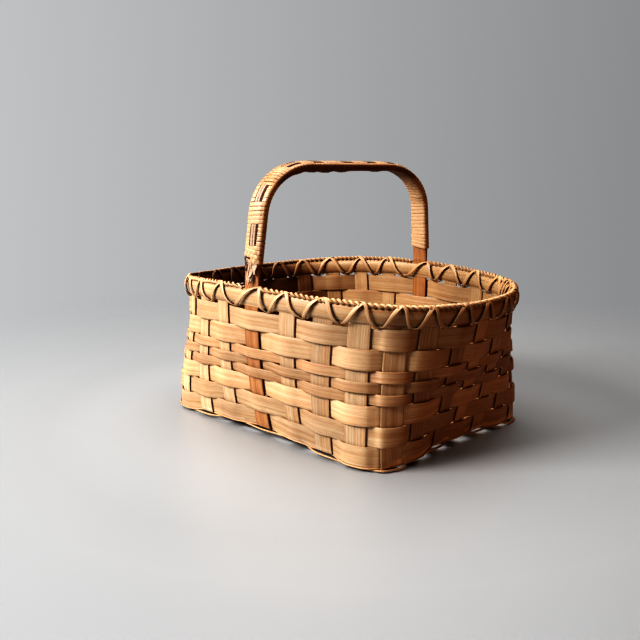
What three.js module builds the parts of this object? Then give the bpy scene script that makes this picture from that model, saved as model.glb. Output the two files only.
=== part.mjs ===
// A rectangular splint market basket with a fixed, cane-wrapped handle.
// Millimetres, +Z up. The origin is at the bottom centre and the handle spans X.
// Flat splints cross in the base and turn up as stakes. Eight weavers go round them in hoops.
// Two rim strips clamp the stakes' tops and a cane lashing binds them in an X pattern.
import * as THREE from "three";

// Half the length and width of the wall's middle surface at the base, and how much further it
// stands out at half height and at the rim.
const BASE_HALF_X = 114;
const BASE_HALF_Y = 146;
const BELLY_SWELL_X = 5;
const BELLY_SWELL_Y = 8;
const RIM_FLARE_X = 3;
const RIM_FLARE_Y = 18;
// Exponents of the plan's superellipse: high is square-cornered, low is round.
const BASE_SQUARENESS = 8;
const BELLY_SQUARENESS = 3.9;
const RIM_SQUARENESS = 3.1;
// How far the middle of each side stands out (or, at the base, is drawn in).
const BASE_BOW = -5;
const BELLY_BOW = 2.5;
const RIM_BOW = 6.5;
// The rim is highest beside the handle and drops towards the -Y and +Y ends.
const RIM_DROP_MINUS_Y = 5.4;
const RIM_DROP_PLUS_Y = 13.7;
// The middle of the base is lifted, so the basket stands on its four corners.
const BASE_LIFT = 5;

// Splints. Widths run along a side: the long side from its +Y end, the short side from its -X end.
const SPLINT_THICKNESS = 1.2;
const CROSS_SPLINT_WIDTHS = [17, 17, 17, 18, 20, 20];
const LONG_SPLINT_WIDTHS = [20, 18, 16, 16, 17, 17, 17];
// Places of the stakes along half a side, from -1 at one corner to 1 at the other.
const CROSS_SPLINT_PLACES = [-0.865, -0.6, -0.32, 0.33, 0.605, 0.87];
const LONG_SPLINT_PLACES = [-0.87, -0.61, -0.29, -0.03, 0.285, 0.57, 0.84];
const BEND_RADIUS = 1.8;

// Weavers, from the top row to the bottom row.
const WIDE_ROW = 17.9;
const NARROW_ROW = 9.8;
const ROWS = [WIDE_ROW, WIDE_ROW, NARROW_ROW, NARROW_ROW, NARROW_ROW, WIDE_ROW, WIDE_ROW, WIDE_ROW];
const WEAVER_THICKNESS = 1.2;
const ROW_GAP = 0.4;
const BASE_CLEARANCE = 1.4; // from the base splints up to the lowest weaver

// Rim.
const RIM_SLOT = 3.5; // open slot between the top weaver and the rim, where the cane goes through
const RIM_HEIGHT = 15.4;
const RIM_THICKNESS = 3.4;
const STAKE_TUCK = 2.5; // how far the stakes' ends stay below the rim's top
const FILLER_RADIUS = 1.9;
const LASHING_WIDTH = 3.2;
const LASHING_THICKNESS = 0.9;

// Handle.
const HANDLE_WIDTH = 18;
const HANDLE_THICKNESS = 4.8;
const LEG_THICKNESS = 2.2; // shaved thin where it is woven in
const HANDLE_TOP_NEAR = 250.1; // middle of the wood above the -X corner
const HANDLE_TOP_FAR = 248.2; // and above the +X corner
const HANDLE_CORNER_X = 60;
const HANDLE_CORNER_Z = 45;
const HANDLE_LEAN = 6.4;
const HANDLE_CHAMFER = 1;
const WRAP_TURNS = 24;
const WRAP_THICKNESS = 1;
const WRAP_TURN_GAP = 2.2;
const WRAP_START_HEIGHT = 160; // on the +X leg
const WRAP_END_HEIGHT = 166; // on the -X leg
const OVERLAY_WIDTH = 6;
const OVERLAY_THICKNESS = 0.8;

// Clearances.
const GAP = 0.3; // between pieces that touch
const STATION_MARGIN = 0.6; // a weaver runs flat this far past a stake's edge
const LASHING_GAP = 0.45;
const WRAP_GAP = 0.65;

const UP = new THREE.Vector3(0, 0, 1);
const SIDE_STAKES = 7;
const SIDES = 4;
const STAKES = SIDES * SIDE_STAKES;
const HANDLE_PLACE = (SIDE_STAKES - 1) / 2;
const BASE_MID = SPLINT_THICKNESS + GAP / 2;
const ROW_BASE = BASE_MID + SPLINT_THICKNESS + GAP / 2 + BASE_CLEARANCE;
const WALL_TOP = ROW_BASE + ROWS.reduce((sum, row) => sum + row, 0);
const RIM_BOTTOM = WALL_TOP + RIM_SLOT;
const RIM_TOP = RIM_BOTTOM + RIM_HEIGHT;
const FILLER_TOP = RIM_TOP + 0.1 + 2 * FILLER_RADIUS;

// Value at height share t of a quantity known at the base, at half height and at the rim.
function byHeight(base, belly, rim, t) {
  return base * (1 - t) * (1 - 2 * t) + belly * 4 * t * (1 - t) + rim * t * (2 * t - 1);
}

// One side of the plan at height h, as points and their distances from its middle.
// Side 0 is -X, running towards -Y, and the others follow anticlockwise.
const SIDE_SAMPLES = 96;
const sideCache = new Map();
function sideLine(side, h) {
  const key = `${side} ${h}`;
  if (sideCache.has(key)) return sideCache.get(key);
  const t = h / RIM_TOP;
  const halfX = BASE_HALF_X + byHeight(0, BELLY_SWELL_X, RIM_FLARE_X, t);
  const halfY = BASE_HALF_Y + byHeight(0, BELLY_SWELL_Y, RIM_FLARE_Y, t);
  const power = byHeight(BASE_SQUARENESS, BELLY_SQUARENESS, RIM_SQUARENESS, t);
  const bow = byHeight(BASE_BOW, BELLY_BOW, RIM_BOW, t);
  const corner = Math.atan2(halfY, halfX);
  const starts = [Math.PI - corner, Math.PI + corner, 2 * Math.PI - corner, 2 * Math.PI + corner];
  const ends = [Math.PI + corner, 2 * Math.PI - corner, 2 * Math.PI + corner, 3 * Math.PI - corner];
  const shrink = 0.5 ** (1 / power);
  const points = [];
  const distances = [0];
  for (let i = 0; i <= SIDE_SAMPLES; i++) {
    const angle = starts[side] + ((ends[side] - starts[side]) * i) / SIDE_SAMPLES;
    const cos = Math.cos(angle);
    const sin = Math.sin(angle);
    const reach = (Math.abs(cos / halfX) ** power + Math.abs(sin / halfY) ** power) ** (-1 / power);
    const point = new THREE.Vector2(reach * cos, reach * sin);
    if (side % 2 === 0) {
      const share = Math.min(1, Math.abs(point.y) / (halfY * shrink));
      point.x += Math.sign(cos) * bow * Math.cos((Math.PI / 2) * share) ** 2;
    } else {
      const share = Math.min(1, Math.abs(point.x) / (halfX * shrink));
      point.y += Math.sign(sin) * bow * Math.cos((Math.PI / 2) * share) ** 2;
    }
    if (i > 0) distances.push(distances[i - 1] + point.distanceTo(points[i - 1]));
    points.push(point);
  }
  const line = { points, distances };
  sideCache.set(key, line);
  return line;
}

// Point at a share (-1 to 1) of a side's length, with the level tangent and outward normal there.
function planFrame(side, share, h) {
  const { points, distances } = sideLine(side, h);
  const wanted = ((share + 1) / 2) * distances[SIDE_SAMPLES];
  let i = 1;
  while (i < SIDE_SAMPLES && distances[i] < wanted) i++;
  const part = (wanted - distances[i - 1]) / (distances[i] - distances[i - 1]);
  const point = points[i - 1].clone().lerp(points[i], part);
  const before = points[Math.max(0, i - 2)];
  const after = points[Math.min(SIDE_SAMPLES, i + 1)];
  const tangent = new THREE.Vector3(after.x - before.x, after.y - before.y, 0).normalize();
  const normal = tangent.clone().cross(UP);
  return { origin: new THREE.Vector3(point.x, point.y, 0), tangent, normal };
}

// The stakes in order round the basket. The handle's legs take the middle places of the long sides.
const crossPlaces = [...CROSS_SPLINT_PLACES];
crossPlaces.splice(HANDLE_PLACE, 0, 0);
const crossWidths = [...CROSS_SPLINT_WIDTHS];
crossWidths.splice(HANDLE_PLACE, 0, HANDLE_WIDTH);
const stakes = [];
for (let n = 0; n < STAKES; n++) {
  const side = Math.floor(n / SIDE_STAKES);
  const along = n % SIDE_STAKES;
  const splint = side < 2 ? along : SIDE_STAKES - 1 - along;
  const places = side % 2 === 0 ? crossPlaces : LONG_SPLINT_PLACES;
  const widths = side % 2 === 0 ? crossWidths : LONG_SPLINT_WIDTHS;
  const isLeg = side % 2 === 0 && splint === HANDLE_PLACE;
  stakes.push({
    side,
    splint,
    share: side < 2 ? places[splint] : -places[splint],
    width: widths[splint],
    thickness: isLeg ? LEG_THICKNESS : SPLINT_THICKNESS,
    isLeg,
  });
}

// Lift of the base at a place in plan: none at the outermost crossings, full in the middle.
const foot = (n) => planFrame(stakes[n].side, stakes[n].share, 0).origin;
const OUTER_X = Math.min(Math.abs(foot(SIDE_STAKES).x), Math.abs(foot(2 * SIDE_STAKES - 1).x));
const OUTER_Y = Math.min(Math.abs(foot(0).y), Math.abs(foot(SIDE_STAKES - 1).y));
function lift(x, y) {
  const shareX = Math.min(1, Math.abs(x) / OUTER_X);
  const shareY = Math.min(1, Math.abs(y) / OUTER_Y);
  return BASE_LIFT * (1 - shareX ** 2 * shareY ** 2);
}
const fade = (h) => Math.max(0, 1 - h / WALL_TOP) ** 1.5;

// How far the wall's rows come down at a place along Y, growing with height up to the rim.
const RIM_HALF_Y = BASE_HALF_Y + RIM_FLARE_Y + RIM_BOW;
function drop(y, h) {
  const atEnd = y < 0 ? RIM_DROP_MINUS_Y : RIM_DROP_PLUS_Y;
  return atEnd * (y / RIM_HALF_Y) ** 2 * Math.min(1, h / RIM_BOTTOM);
}

// The frame of stake n, or of the corner after side c, at wall height h.
function stakeFrame(n, h) {
  const frame = planFrame(stakes[n].side, stakes[n].share, h);
  const base = foot(n);
  frame.origin.z = h + lift(base.x, base.y) * fade(h) - drop(frame.origin.y, h);
  return frame;
}
function cornerFrame(side, h) {
  const frame = planFrame(side, 1, h);
  const next = planFrame((side + 1) % SIDES, -1, h);
  frame.normal.add(next.normal).normalize();
  frame.tangent = UP.clone().cross(frame.normal);
  frame.origin.z = h - drop(frame.origin.y, h);
  return frame;
}

// Stations round the wall: both edges of each stake, and each corner.
const stations = [];
const leftStation = [];
const rightStation = [];
const holeAfter = []; // place, in stations, of the lashing's hole after each stake
stakes.forEach((stake, n) => {
  leftStation.push(stations.length);
  stations.push({ n, edge: -1, thickness: stake.thickness });
  rightStation.push(stations.length);
  stations.push({ n, edge: 1, thickness: stake.thickness });
  if (n % SIDE_STAKES === SIDE_STAKES - 1) {
    holeAfter.push(stations.length);
    stations.push({ corner: stake.side, thickness: SPLINT_THICKNESS });
  } else {
    holeAfter.push(stations.length - 0.5);
  }
});

// Point at a station, wall height and distance outwards from the wall's middle surface.
function stationPoint(index, h, offset) {
  const station = stations[((index % stations.length) + stations.length) % stations.length];
  if (station.corner !== undefined) {
    const frame = cornerFrame(station.corner, h);
    return frame.origin.addScaledVector(frame.normal, offset);
  }
  const frame = stakeFrame(station.n, h);
  const side = station.edge * (stakes[station.n].width / 2 + STATION_MARGIN);
  const point = frame.origin.clone().addScaledVector(frame.tangent, side);
  point.z += drop(frame.origin.y, h) - drop(point.y, h);
  return point.addScaledVector(frame.normal, offset);
}

// A closed surface through rings of points: joined end to end, or closed by flat ends.
function loft(rings, joined) {
  const count = rings[0].length;
  const positions = rings.flatMap((ring) => ring.flatMap((p) => [p.x, p.y, p.z]));
  const faces = [];
  const spans = joined ? rings.length : rings.length - 1;
  for (let i = 0; i < spans; i++) {
    const here = i * count;
    const next = ((i + 1) % rings.length) * count;
    for (let k = 0; k < count; k++) {
      const side = (k + 1) % count;
      faces.push(here + k, next + k, next + side, here + k, next + side, here + side);
    }
  }
  if (!joined) {
    const last = (rings.length - 1) * count;
    for (let k = 1; k < count - 1; k++) {
      faces.push(0, k, k + 1, last, last + k + 1, last + k);
    }
  }
  // Faces point outwards when the enclosed volume is positive.
  let volume = 0;
  const corner = (i) => new THREE.Vector3().fromArray(positions, 3 * faces[i]);
  for (let i = 0; i < faces.length; i += 3) {
    volume += corner(i).dot(corner(i + 1).cross(corner(i + 2)));
  }
  if (volume < 0) {
    for (let i = 0; i < faces.length; i += 3) {
      [faces[i + 1], faces[i + 2]] = [faces[i + 2], faces[i + 1]];
    }
  }
  const geometry = new THREE.BufferGeometry();
  geometry.setAttribute("position", new THREE.Float32BufferAttribute(positions, 3));
  geometry.setIndex(faces);
  return geometry;
}

// Cross-section of a flat strip, with chamfered edges where a chamfer is given.
function stripSection(point, across, out, width, thickness, chamfer = 0) {
  const w = width / 2;
  const t = thickness / 2;
  const corners = chamfer
    ? [[-w, chamfer - t], [-w, t - chamfer], [chamfer - w, t], [w - chamfer, t],
      [w, t - chamfer], [w, chamfer - t], [w - chamfer, -t], [chamfer - w, -t]]
    : [[-w, -t], [-w, t], [w, t], [w, -t]];
  return corners.map(([a, b]) => point.clone().addScaledVector(across, a).addScaledVector(out, b));
}

const root = new THREE.Group();
function add(name, geometry, color, roughness = 0.7) {
  geometry.computeVertexNormals();
  const mesh = new THREE.Mesh(
    geometry,
    new THREE.MeshStandardMaterial({ color, roughness, metalness: 0 }),
  );
  mesh.name = name;
  root.add(mesh);
}

// Heights at which a stake has a section: the row edges and the ends of the rim slot.
const rowEdges = [ROW_BASE];
for (const row of [...ROWS].reverse()) rowEdges.push(rowEdges[rowEdges.length - 1] + row);
const stakeHeights = [...rowEdges, RIM_BOTTOM];

// A splint or the handle strap: down one stake, over and under across the base, up the opposite stake.
// Stakes first and last are its two ends, and crossed lists the base splints that it crosses in turn.
function splintRings(first, last, crossed, aboveAtStart, top, chamferShare) {
  const start = stakes[first];
  const { width, thickness } = start;
  const chamfer = thickness * chamferShare;
  const along = start.side === 0 ? new THREE.Vector3(1, 0, 0) : new THREE.Vector3(0, 1, 0);
  const across = start.side === 0 ? new THREE.Vector3(0, -1, 0) : new THREE.Vector3(1, 0, 0);
  const section = (point, t, n) => stripSection(point, t, n, width, thickness, chamfer);
  const level = (crossing, above) => {
    const there = stakes[crossing];
    const at = foot(first).multiply(across).multiply(across)
      .add(foot(crossing).multiply(along));
    const apart = (thickness + there.thickness) / 4 + GAP / 2;
    return BASE_MID + lift(at.x, at.y) + (above ? apart : -apart);
  };
  const leg = (n, crossing, above, flip) => {
    const run = level(crossing, above);
    const base = foot(n);
    const bendHeight = run - lift(base.x, base.y) * fade(0) + BEND_RADIUS;
    const side = (frame) => frame.tangent.clone().multiplyScalar(flip);
    const heights = [...stakeHeights.filter((h) => h > bendHeight + 1), top];
    const rings = heights.map((h) => {
      const frame = stakeFrame(n, h);
      return section(frame.origin, side(frame), frame.normal);
    });
    const frame = stakeFrame(n, bendHeight);
    const outward = along.clone().multiplyScalar(-flip);
    const bend = [0, 1, 2].map((step) => {
      const angle = (step * Math.PI) / 4;
      const point = frame.origin.clone()
        .addScaledVector(outward, -BEND_RADIUS * (1 - Math.cos(angle)));
      point.z = run + BEND_RADIUS * (1 - Math.sin(angle));
      const t = side(frame).lerp(across, step / 2).normalize();
      const n0 = frame.normal.clone().lerp(outward, step / 2).normalize();
      const n1 = n0.multiplyScalar(Math.cos(angle)).addScaledVector(UP, -Math.sin(angle));
      return section(point, t, n1.normalize());
    });
    return [...rings.reverse(), ...bend];
  };
  const down = UP.clone().negate();
  const run = crossed.flatMap((crossing, k) => {
    const above = aboveAtStart === (k % 2 === 0);
    const half = stakes[crossing].width / 2 + STATION_MARGIN;
    return [-half, half].map((step) => {
      const point = foot(first).multiply(across).multiply(across)
        .add(foot(crossing).multiply(along));
      point.addScaledVector(along, step);
      point.z = level(crossing, above);
      return section(point, across, down);
    });
  });
  const count = crossed.length;
  const aboveAtEnd = aboveAtStart === (count % 2 === 1);
  return [
    ...leg(first, crossed[0], aboveAtStart, 1),
    ...run,
    ...leg(last, crossed[count - 1], aboveAtEnd, -1).reverse(),
  ];
}

const longFeet = Array.from({ length: SIDE_STAKES }, (_, j) => SIDE_STAKES + j);
const crossFeet = Array.from({ length: SIDE_STAKES }, (_, i) => SIDE_STAKES - 1 - i);
const stakeTop = RIM_TOP - STAKE_TUCK;
let number = 1;
for (let i = 0; i < SIDE_STAKES; i++) {
  if (i === HANDLE_PLACE) continue;
  const rings = splintRings(i, 3 * SIDE_STAKES - 1 - i, longFeet, i % 2 === 1, stakeTop, 0);
  add(`cross_splint_${number}`, loft(rings, false), 0xd9b483);
  number++;
}
for (let j = 0; j < SIDE_STAKES; j++) {
  const rings = splintRings(SIDE_STAKES + j, STAKES - 1 - j, crossFeet, j % 2 === 0, stakeTop, 0);
  add(`long_splint_${j + 1}`, loft(rings, false), 0xd4ad7a);
}

// Weavers: flat over each stake, outside it or inside it by turns, and sloping between stakes.
ROWS.forEach((row, r) => {
  const high = rowEdges[ROWS.length - r] - ROW_GAP / 2;
  const low = rowEdges[ROWS.length - r - 1] + ROW_GAP / 2;
  const rings = stations.map((station, index) => {
    const apart = (station.thickness + WEAVER_THICKNESS) / 2 + GAP;
    const outside = (station.n + r) % 2 === 1;
    const middle = station.corner === undefined ? (outside ? apart : -apart) : 0;
    const inner = middle - WEAVER_THICKNESS / 2;
    const outer = middle + WEAVER_THICKNESS / 2;
    return [
      stationPoint(index, high, inner),
      stationPoint(index, low, inner),
      stationPoint(index, low, outer),
      stationPoint(index, high, outer),
    ];
  });
  add(`weaver_${r + 1}`, loft(rings, true), row === WIDE_ROW ? 0xdcb88a : 0xcfa37a);
});

// Rim strips: flat against the stakes and rounded on the far side.
function rimRings(sign) {
  const profile = [[0, 0], [0, 1], [0.5, 1], [1, 0.75], [1, 0.25], [0.5, 0]];
  return stations.map((station, index) => {
    const seat = station.thickness / 2 + GAP;
    return profile.map(([out, up]) =>
      stationPoint(index, RIM_BOTTOM + up * RIM_HEIGHT, sign * (seat + out * RIM_THICKNESS)));
  });
}
add("outer_rim", loft(rimRings(1), true), 0xd8b07e);
add("inner_rim", loft(rimRings(-1), true), 0xd8b07e);

// Filler cord in two lengths, lying on the rim strips between the handle's legs.
const NEAR_LEG = HANDLE_PLACE;
const FAR_LEG = 2 * SIDE_STAKES + HANDLE_PLACE;
function fillerRings(from, to) {
  const rings = [];
  const sides = 6;
  for (let index = from; index <= to; index++) {
    const ring = [];
    for (let k = 0; k < sides; k++) {
      const angle = (2 * Math.PI * k) / sides;
      const rise = RIM_TOP + 0.1 + FILLER_RADIUS * (1 + Math.sin(angle));
      const point = stationPoint(index, RIM_TOP, FILLER_RADIUS * Math.cos(angle));
      point.z += rise - RIM_TOP;
      ring.push(point);
    }
    rings.push(ring);
  }
  return rings;
}
add("rim_filler_front", loft(fillerRings(rightStation[NEAR_LEG], leftStation[FAR_LEG]), false), 0xcfa873);
add("rim_filler_back",
  loft(fillerRings(rightStation[FAR_LEG], leftStation[NEAR_LEG] + stations.length), false), 0xcfa873);

// Least distance between the points of a strip's turns, sampled along each edge.
function leastTurnGap(rings, perTurn) {
  const samples = rings.slice(0, -1).map((ring, i) =>
    ring.flatMap((p, k) => [p, p.clone().lerp(rings[i + 1][k], 0.5)]));
  let least = Infinity;
  for (let i = 0; i + perTurn <= samples.length; i++) {
    for (let j = i + perTurn - 2; j <= Math.min(samples.length - 1, i + perTurn + 2); j++) {
      for (const p of samples[i]) {
        for (const q of samples[j]) least = Math.min(least, p.distanceTo(q));
      }
    }
  }
  return least;
}

// Rim lashing. A pass climbs the outside from one hole, crosses the top over a stake and goes down
// the inside to the next hole. The return pass goes the other way on a slightly larger shell.
function lashingRings(pass, shell) {
  const lowest = RIM_BOTTOM - shell;
  const shoulder = RIM_TOP - 0.5;
  const crest = FILLER_TOP + shell;
  const crestOut = 0.9 * FILLER_RADIUS + 0.7 * shell;
  const legShift = 0.35;
  // Point at a fractional station, on the outer face (1), the inner face (-1) or at a set distance.
  const at = (place, z, face, offset) => {
    const index = Math.floor(place);
    const ends = [index, index + 1].map((k) => {
      const { thickness } = stations[((k % stations.length) + stations.length) % stations.length];
      const reach = face * (thickness / 2 + GAP + RIM_THICKNESS + shell);
      return stationPoint(k, Math.min(z, RIM_TOP), face ? reach : offset);
    });
    const point = ends[0].lerp(ends[1], place - index);
    point.z += z - Math.min(z, RIM_TOP);
    return point;
  };
  const path = [];
  const put = (place, z, face, offset, up) => {
    const point = at(place, z, face, offset);
    const outward = at(place, z, 0, 1).sub(at(place, z, 0, 0)).normalize();
    const across = up < 0 ? outward.clone().cross(UP) : null;
    const tilt = Math.sqrt(1 - up * up) * Math.sign(offset);
    path.push({ point, across, out: outward.multiplyScalar(tilt).addScaledVector(UP, up) });
  };
  for (let step = 0; step < STAKES; step++) {
    const n = pass > 0 ? step : STAKES - 1 - step;
    const before = n === 0 ? holeAfter[STAKES - 1] - stations.length : holeAfter[n - 1];
    const after = holeAfter[n];
    const from = pass > 0 ? before : after;
    const to = pass > 0 ? after : before;
    const middle = (leftStation[n] + rightStation[n]) / 2;
    const beside = pass > 0 ? rightStation[n] + legShift : leftStation[n] - legShift;
    const top = stakes[n].isLeg ? beside : middle;
    const between = (a, b) => {
      const low = Math.min(a, b);
      const high = Math.max(a, b);
      const inner = [leftStation[n], rightStation[n]].filter((s) => s > low && s < high);
      return a < b ? inner : inner.reverse();
    };
    put(from, lowest, 1, 1, -0.7);
    for (const s of between(from, top)) {
      put(s, lowest + ((shoulder - lowest) * (s - from)) / (top - from), 1, 1, 0);
    }
    put(top, shoulder, 1, 1, 0.3);
    put(top, crest, 0, crestOut, 0.87);
    put(top, crest, 0, -crestOut, 0.87);
    put(top, shoulder, -1, -1, 0.3);
    for (const s of between(top, to)) {
      put(s, shoulder + ((lowest - shoulder) * (s - top)) / (to - top), -1, -1, 0);
    }
    put(to, lowest, -1, -1, -0.7);
  }
  // The strip lies level where it passes under the rim, and elsewhere square to its run.
  return path.map(({ point, across, out }, i) => {
    const before = path[Math.max(0, i - 1)].point;
    const after = path[Math.min(path.length - 1, i + 1)].point;
    const square = out.clone().cross(after.clone().sub(before)).normalize();
    return stripSection(point, across ?? square, out, LASHING_WIDTH, LASHING_THICKNESS);
  });
}
const FIRST_SHELL = LASHING_GAP + LASHING_THICKNESS / 2;
const RETURN_SHELL = FIRST_SHELL + LASHING_THICKNESS + LASHING_GAP;
const firstPass = lashingRings(1, FIRST_SHELL);
const returnPass = lashingRings(-1, RETURN_SHELL);
add("rim_lashing_first", loft(firstPass, false), 0xc99c66);
add("rim_lashing_return", loft(returnPass, false), 0xc99c66);

// The handle's line above the rim, from the +X leg over to the -X leg.
const legTop = (n) => stakeFrame(n, RIM_TOP).origin;
const farLeg = legTop(FAR_LEG);
const nearLeg = legTop(NEAR_LEG);
const CORNER_STEPS = 6;
const archPoints = [farLeg.clone()];
const farShoulder = farLeg.x - HANDLE_LEAN;
const nearShoulder = nearLeg.x + HANDLE_LEAN;
const farElbow = HANDLE_TOP_FAR - HANDLE_CORNER_Z;
const nearElbow = HANDLE_TOP_NEAR - HANDLE_CORNER_Z;
archPoints.push(new THREE.Vector3(farLeg.x - 0.3 * HANDLE_LEAN, 0, farLeg.z + 0.4 * (farElbow - farLeg.z)));
for (let k = 0; k <= CORNER_STEPS; k++) {
  const angle = (k * Math.PI) / 2 / CORNER_STEPS;
  archPoints.push(new THREE.Vector3(
    farShoulder - HANDLE_CORNER_X * (1 - Math.cos(angle)),
    0,
    farElbow + HANDLE_CORNER_Z * Math.sin(angle),
  ));
}
for (let k = CORNER_STEPS; k >= 0; k--) {
  const angle = (k * Math.PI) / 2 / CORNER_STEPS;
  archPoints.push(new THREE.Vector3(
    nearShoulder + HANDLE_CORNER_X * (1 - Math.cos(angle)),
    0,
    nearElbow + HANDLE_CORNER_Z * Math.sin(angle),
  ));
}
archPoints.push(new THREE.Vector3(nearLeg.x + 0.3 * HANDLE_LEAN, 0, nearLeg.z + 0.4 * (nearElbow - nearLeg.z)));
archPoints.push(nearLeg.clone());
const arch = new THREE.CatmullRomCurve3(archPoints, false, "centripetal");
arch.arcLengthDivisions = 800;
const archLength = arch.getLength();

// Point beside the arch: a distance along it, across it (towards -Y) and out from it.
function archFrame(distance) {
  const share = Math.min(1, Math.max(0, distance / archLength));
  const tangent = arch.getTangentAt(share);
  const out = new THREE.Vector3(tangent.z, 0, -tangent.x);
  return { origin: arch.getPointAt(share), across: new THREE.Vector3(0, -1, 0), out };
}
function archPoint(distance, across, out) {
  const frame = archFrame(distance);
  return frame.origin.addScaledVector(frame.across, across).addScaledVector(frame.out, out);
}

// The handle strap is one hoop: both legs, the run under the base and the arch.
const legRings = splintRings(NEAR_LEG, FAR_LEG, longFeet, true, RIM_TOP, 0.25);
const ARCH_STEPS = 64;
const THICKEN_FROM = 5;
const THICKEN_OVER = 10;
const archRings = [];
for (let k = 1; k < ARCH_STEPS; k++) {
  const distance = (archLength * k) / ARCH_STEPS;
  const fromEnd = Math.min(distance, archLength - distance);
  const share = Math.min(1, Math.max(0, (fromEnd - THICKEN_FROM) / THICKEN_OVER));
  const thickness = LEG_THICKNESS + (HANDLE_THICKNESS - LEG_THICKNESS) * share;
  const chamfer = LEG_THICKNESS / 4 + (HANDLE_CHAMFER - LEG_THICKNESS / 4) * share;
  const { origin, across, out } = archFrame(distance);
  archRings.push(stripSection(origin, across, out, HANDLE_WIDTH, thickness, chamfer));
}
add("handle_hoop", loft([...legRings, ...archRings], true), 0xb87a45);

// Cane wrapping: one strip wound round the arch. Each section follows the arch at three places.
const heightDistance = (height, fromNear) => {
  let distance = 0;
  while (archFrame(fromNear ? archLength - distance : distance).origin.z < height) distance += 0.25;
  return fromNear ? archLength - distance : distance;
};
const wrapStart = heightDistance(WRAP_START_HEIGHT, false);
const wrapEnd = heightDistance(WRAP_END_HEIGHT, true);
const wrapPitch = (wrapEnd - wrapStart) / (WRAP_TURNS + 1);
const wrapWidth = wrapPitch - WRAP_TURN_GAP;
const wrapAcross = HANDLE_WIDTH / 2 + WRAP_GAP + WRAP_THICKNESS / 2;
const wrapOut = HANDLE_THICKNESS / 2 + WRAP_GAP + WRAP_THICKNESS / 2;
const wrapCorner = HANDLE_CHAMFER + 0.6;
const wrapTurn = [
  [-(wrapAcross - wrapCorner), wrapOut, 0, 1],
  [wrapAcross - wrapCorner, wrapOut, 0, 1],
  [wrapAcross, wrapOut - wrapCorner, 1, 0],
  [wrapAcross, wrapCorner - wrapOut, 1, 0],
  [wrapAcross - wrapCorner, -wrapOut, 0, -1],
  [wrapCorner - wrapAcross, -wrapOut, 0, -1],
  [-wrapAcross, wrapCorner - wrapOut, -1, 0],
  [-wrapAcross, wrapOut - wrapCorner, -1, 0],
];
const turnLengths = wrapTurn.map(([a, b], k) => {
  const [c, d] = wrapTurn[(k + 1) % wrapTurn.length];
  return Math.hypot(c - a, d - b);
});
const turnLength = turnLengths.reduce((sum, length) => sum + length, 0);
const wrapRings = [];
for (let turn = 0; turn < WRAP_TURNS; turn++) {
  let travelled = 0;
  wrapTurn.forEach(([across, out, normalAcross, normalOut], k) => {
    const distance = wrapStart + wrapPitch * (0.5 + turn + travelled / turnLength);
    const half = WRAP_THICKNESS / 2;
    const corner = (along, side) => archPoint(
      distance + along * wrapWidth,
      across + side * half * normalAcross,
      out + side * half * normalOut,
    );
    wrapRings.push([
      corner(-0.5, -1), corner(0, -1), corner(0.5, -1), corner(0.5, 1), corner(0, 1), corner(-0.5, 1),
    ]);
    travelled += turnLengths[k];
  });
}
add("handle_wrap", loft(wrapRings, false), 0xd9b27c);

// Flat overlay strip along the outer face of the wrapping.
const overlayOut = wrapOut + WRAP_THICKNESS / 2 + GAP + OVERLAY_THICKNESS / 2;
const OVERLAY_STEPS = 44;
const overlayRings = [];
for (let k = 0; k <= OVERLAY_STEPS; k++) {
  const distance = wrapStart + ((wrapEnd - wrapStart) * k) / OVERLAY_STEPS;
  const { origin, across, out } = archFrame(distance);
  origin.addScaledVector(out, overlayOut);
  overlayRings.push(stripSection(origin, across, out, OVERLAY_WIDTH, OVERLAY_THICKNESS));
}
add("handle_overlay", loft(overlayRings, false), 0xb9a88e);

console.log("handle_wrap least gap", leastTurnGap(wrapRings, wrapTurn.length).toFixed(2), "mm");
console.log("rim_lashing_first least gap", leastTurnGap(firstPass, 8).toFixed(2), "mm");
console.log("rim_lashing_return least gap", leastTurnGap(returnPass, 8).toFixed(2), "mm");

export default root;
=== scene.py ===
import bpy
import numpy as np
from mathutils import Matrix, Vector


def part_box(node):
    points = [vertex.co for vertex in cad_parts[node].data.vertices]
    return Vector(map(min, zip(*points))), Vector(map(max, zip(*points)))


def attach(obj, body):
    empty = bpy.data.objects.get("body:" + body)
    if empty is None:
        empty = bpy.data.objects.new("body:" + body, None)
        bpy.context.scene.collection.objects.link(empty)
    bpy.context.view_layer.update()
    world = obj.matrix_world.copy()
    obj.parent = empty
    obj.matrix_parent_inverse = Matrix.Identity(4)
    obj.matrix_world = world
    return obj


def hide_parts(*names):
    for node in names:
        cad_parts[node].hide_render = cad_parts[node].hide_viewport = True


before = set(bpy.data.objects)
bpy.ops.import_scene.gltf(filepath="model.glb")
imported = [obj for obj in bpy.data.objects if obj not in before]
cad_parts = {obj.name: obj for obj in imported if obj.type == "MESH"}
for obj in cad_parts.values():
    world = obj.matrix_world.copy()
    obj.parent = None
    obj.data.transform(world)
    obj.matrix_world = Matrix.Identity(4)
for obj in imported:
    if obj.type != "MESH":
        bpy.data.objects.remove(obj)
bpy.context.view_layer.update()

bl_info = {
    "name": "Woven splint basket",
    "version": (1, 0, 0),
    "blender": (4, 5, 0),
    "location": "View3D > Sidebar > Basket",
    "description": "Builds a splint basket's splints, weavers, rim, lashing and wrapped handle",
    "category": "Add Mesh",
}

MM = 1000.0
UP = np.array([0.0, 0.0, 1.0])

# Plan of the wall's middle surface, as X and Y: half sizes at the base, swell at half height, flare
# at the rim.
BASE_HALF = (114.0, 146.0)
BELLY_SWELL = (5.0, 8.0)
RIM_FLARE = (3.0, 18.0)
# At the base, half height and rim: the superellipse's exponent, and how far mid-sides stand out.
SQUARENESS = (8.0, 3.9, 3.1)
BOW = (-5.0, 2.5, 6.5)
BASE_LIFT = 5.0

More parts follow.
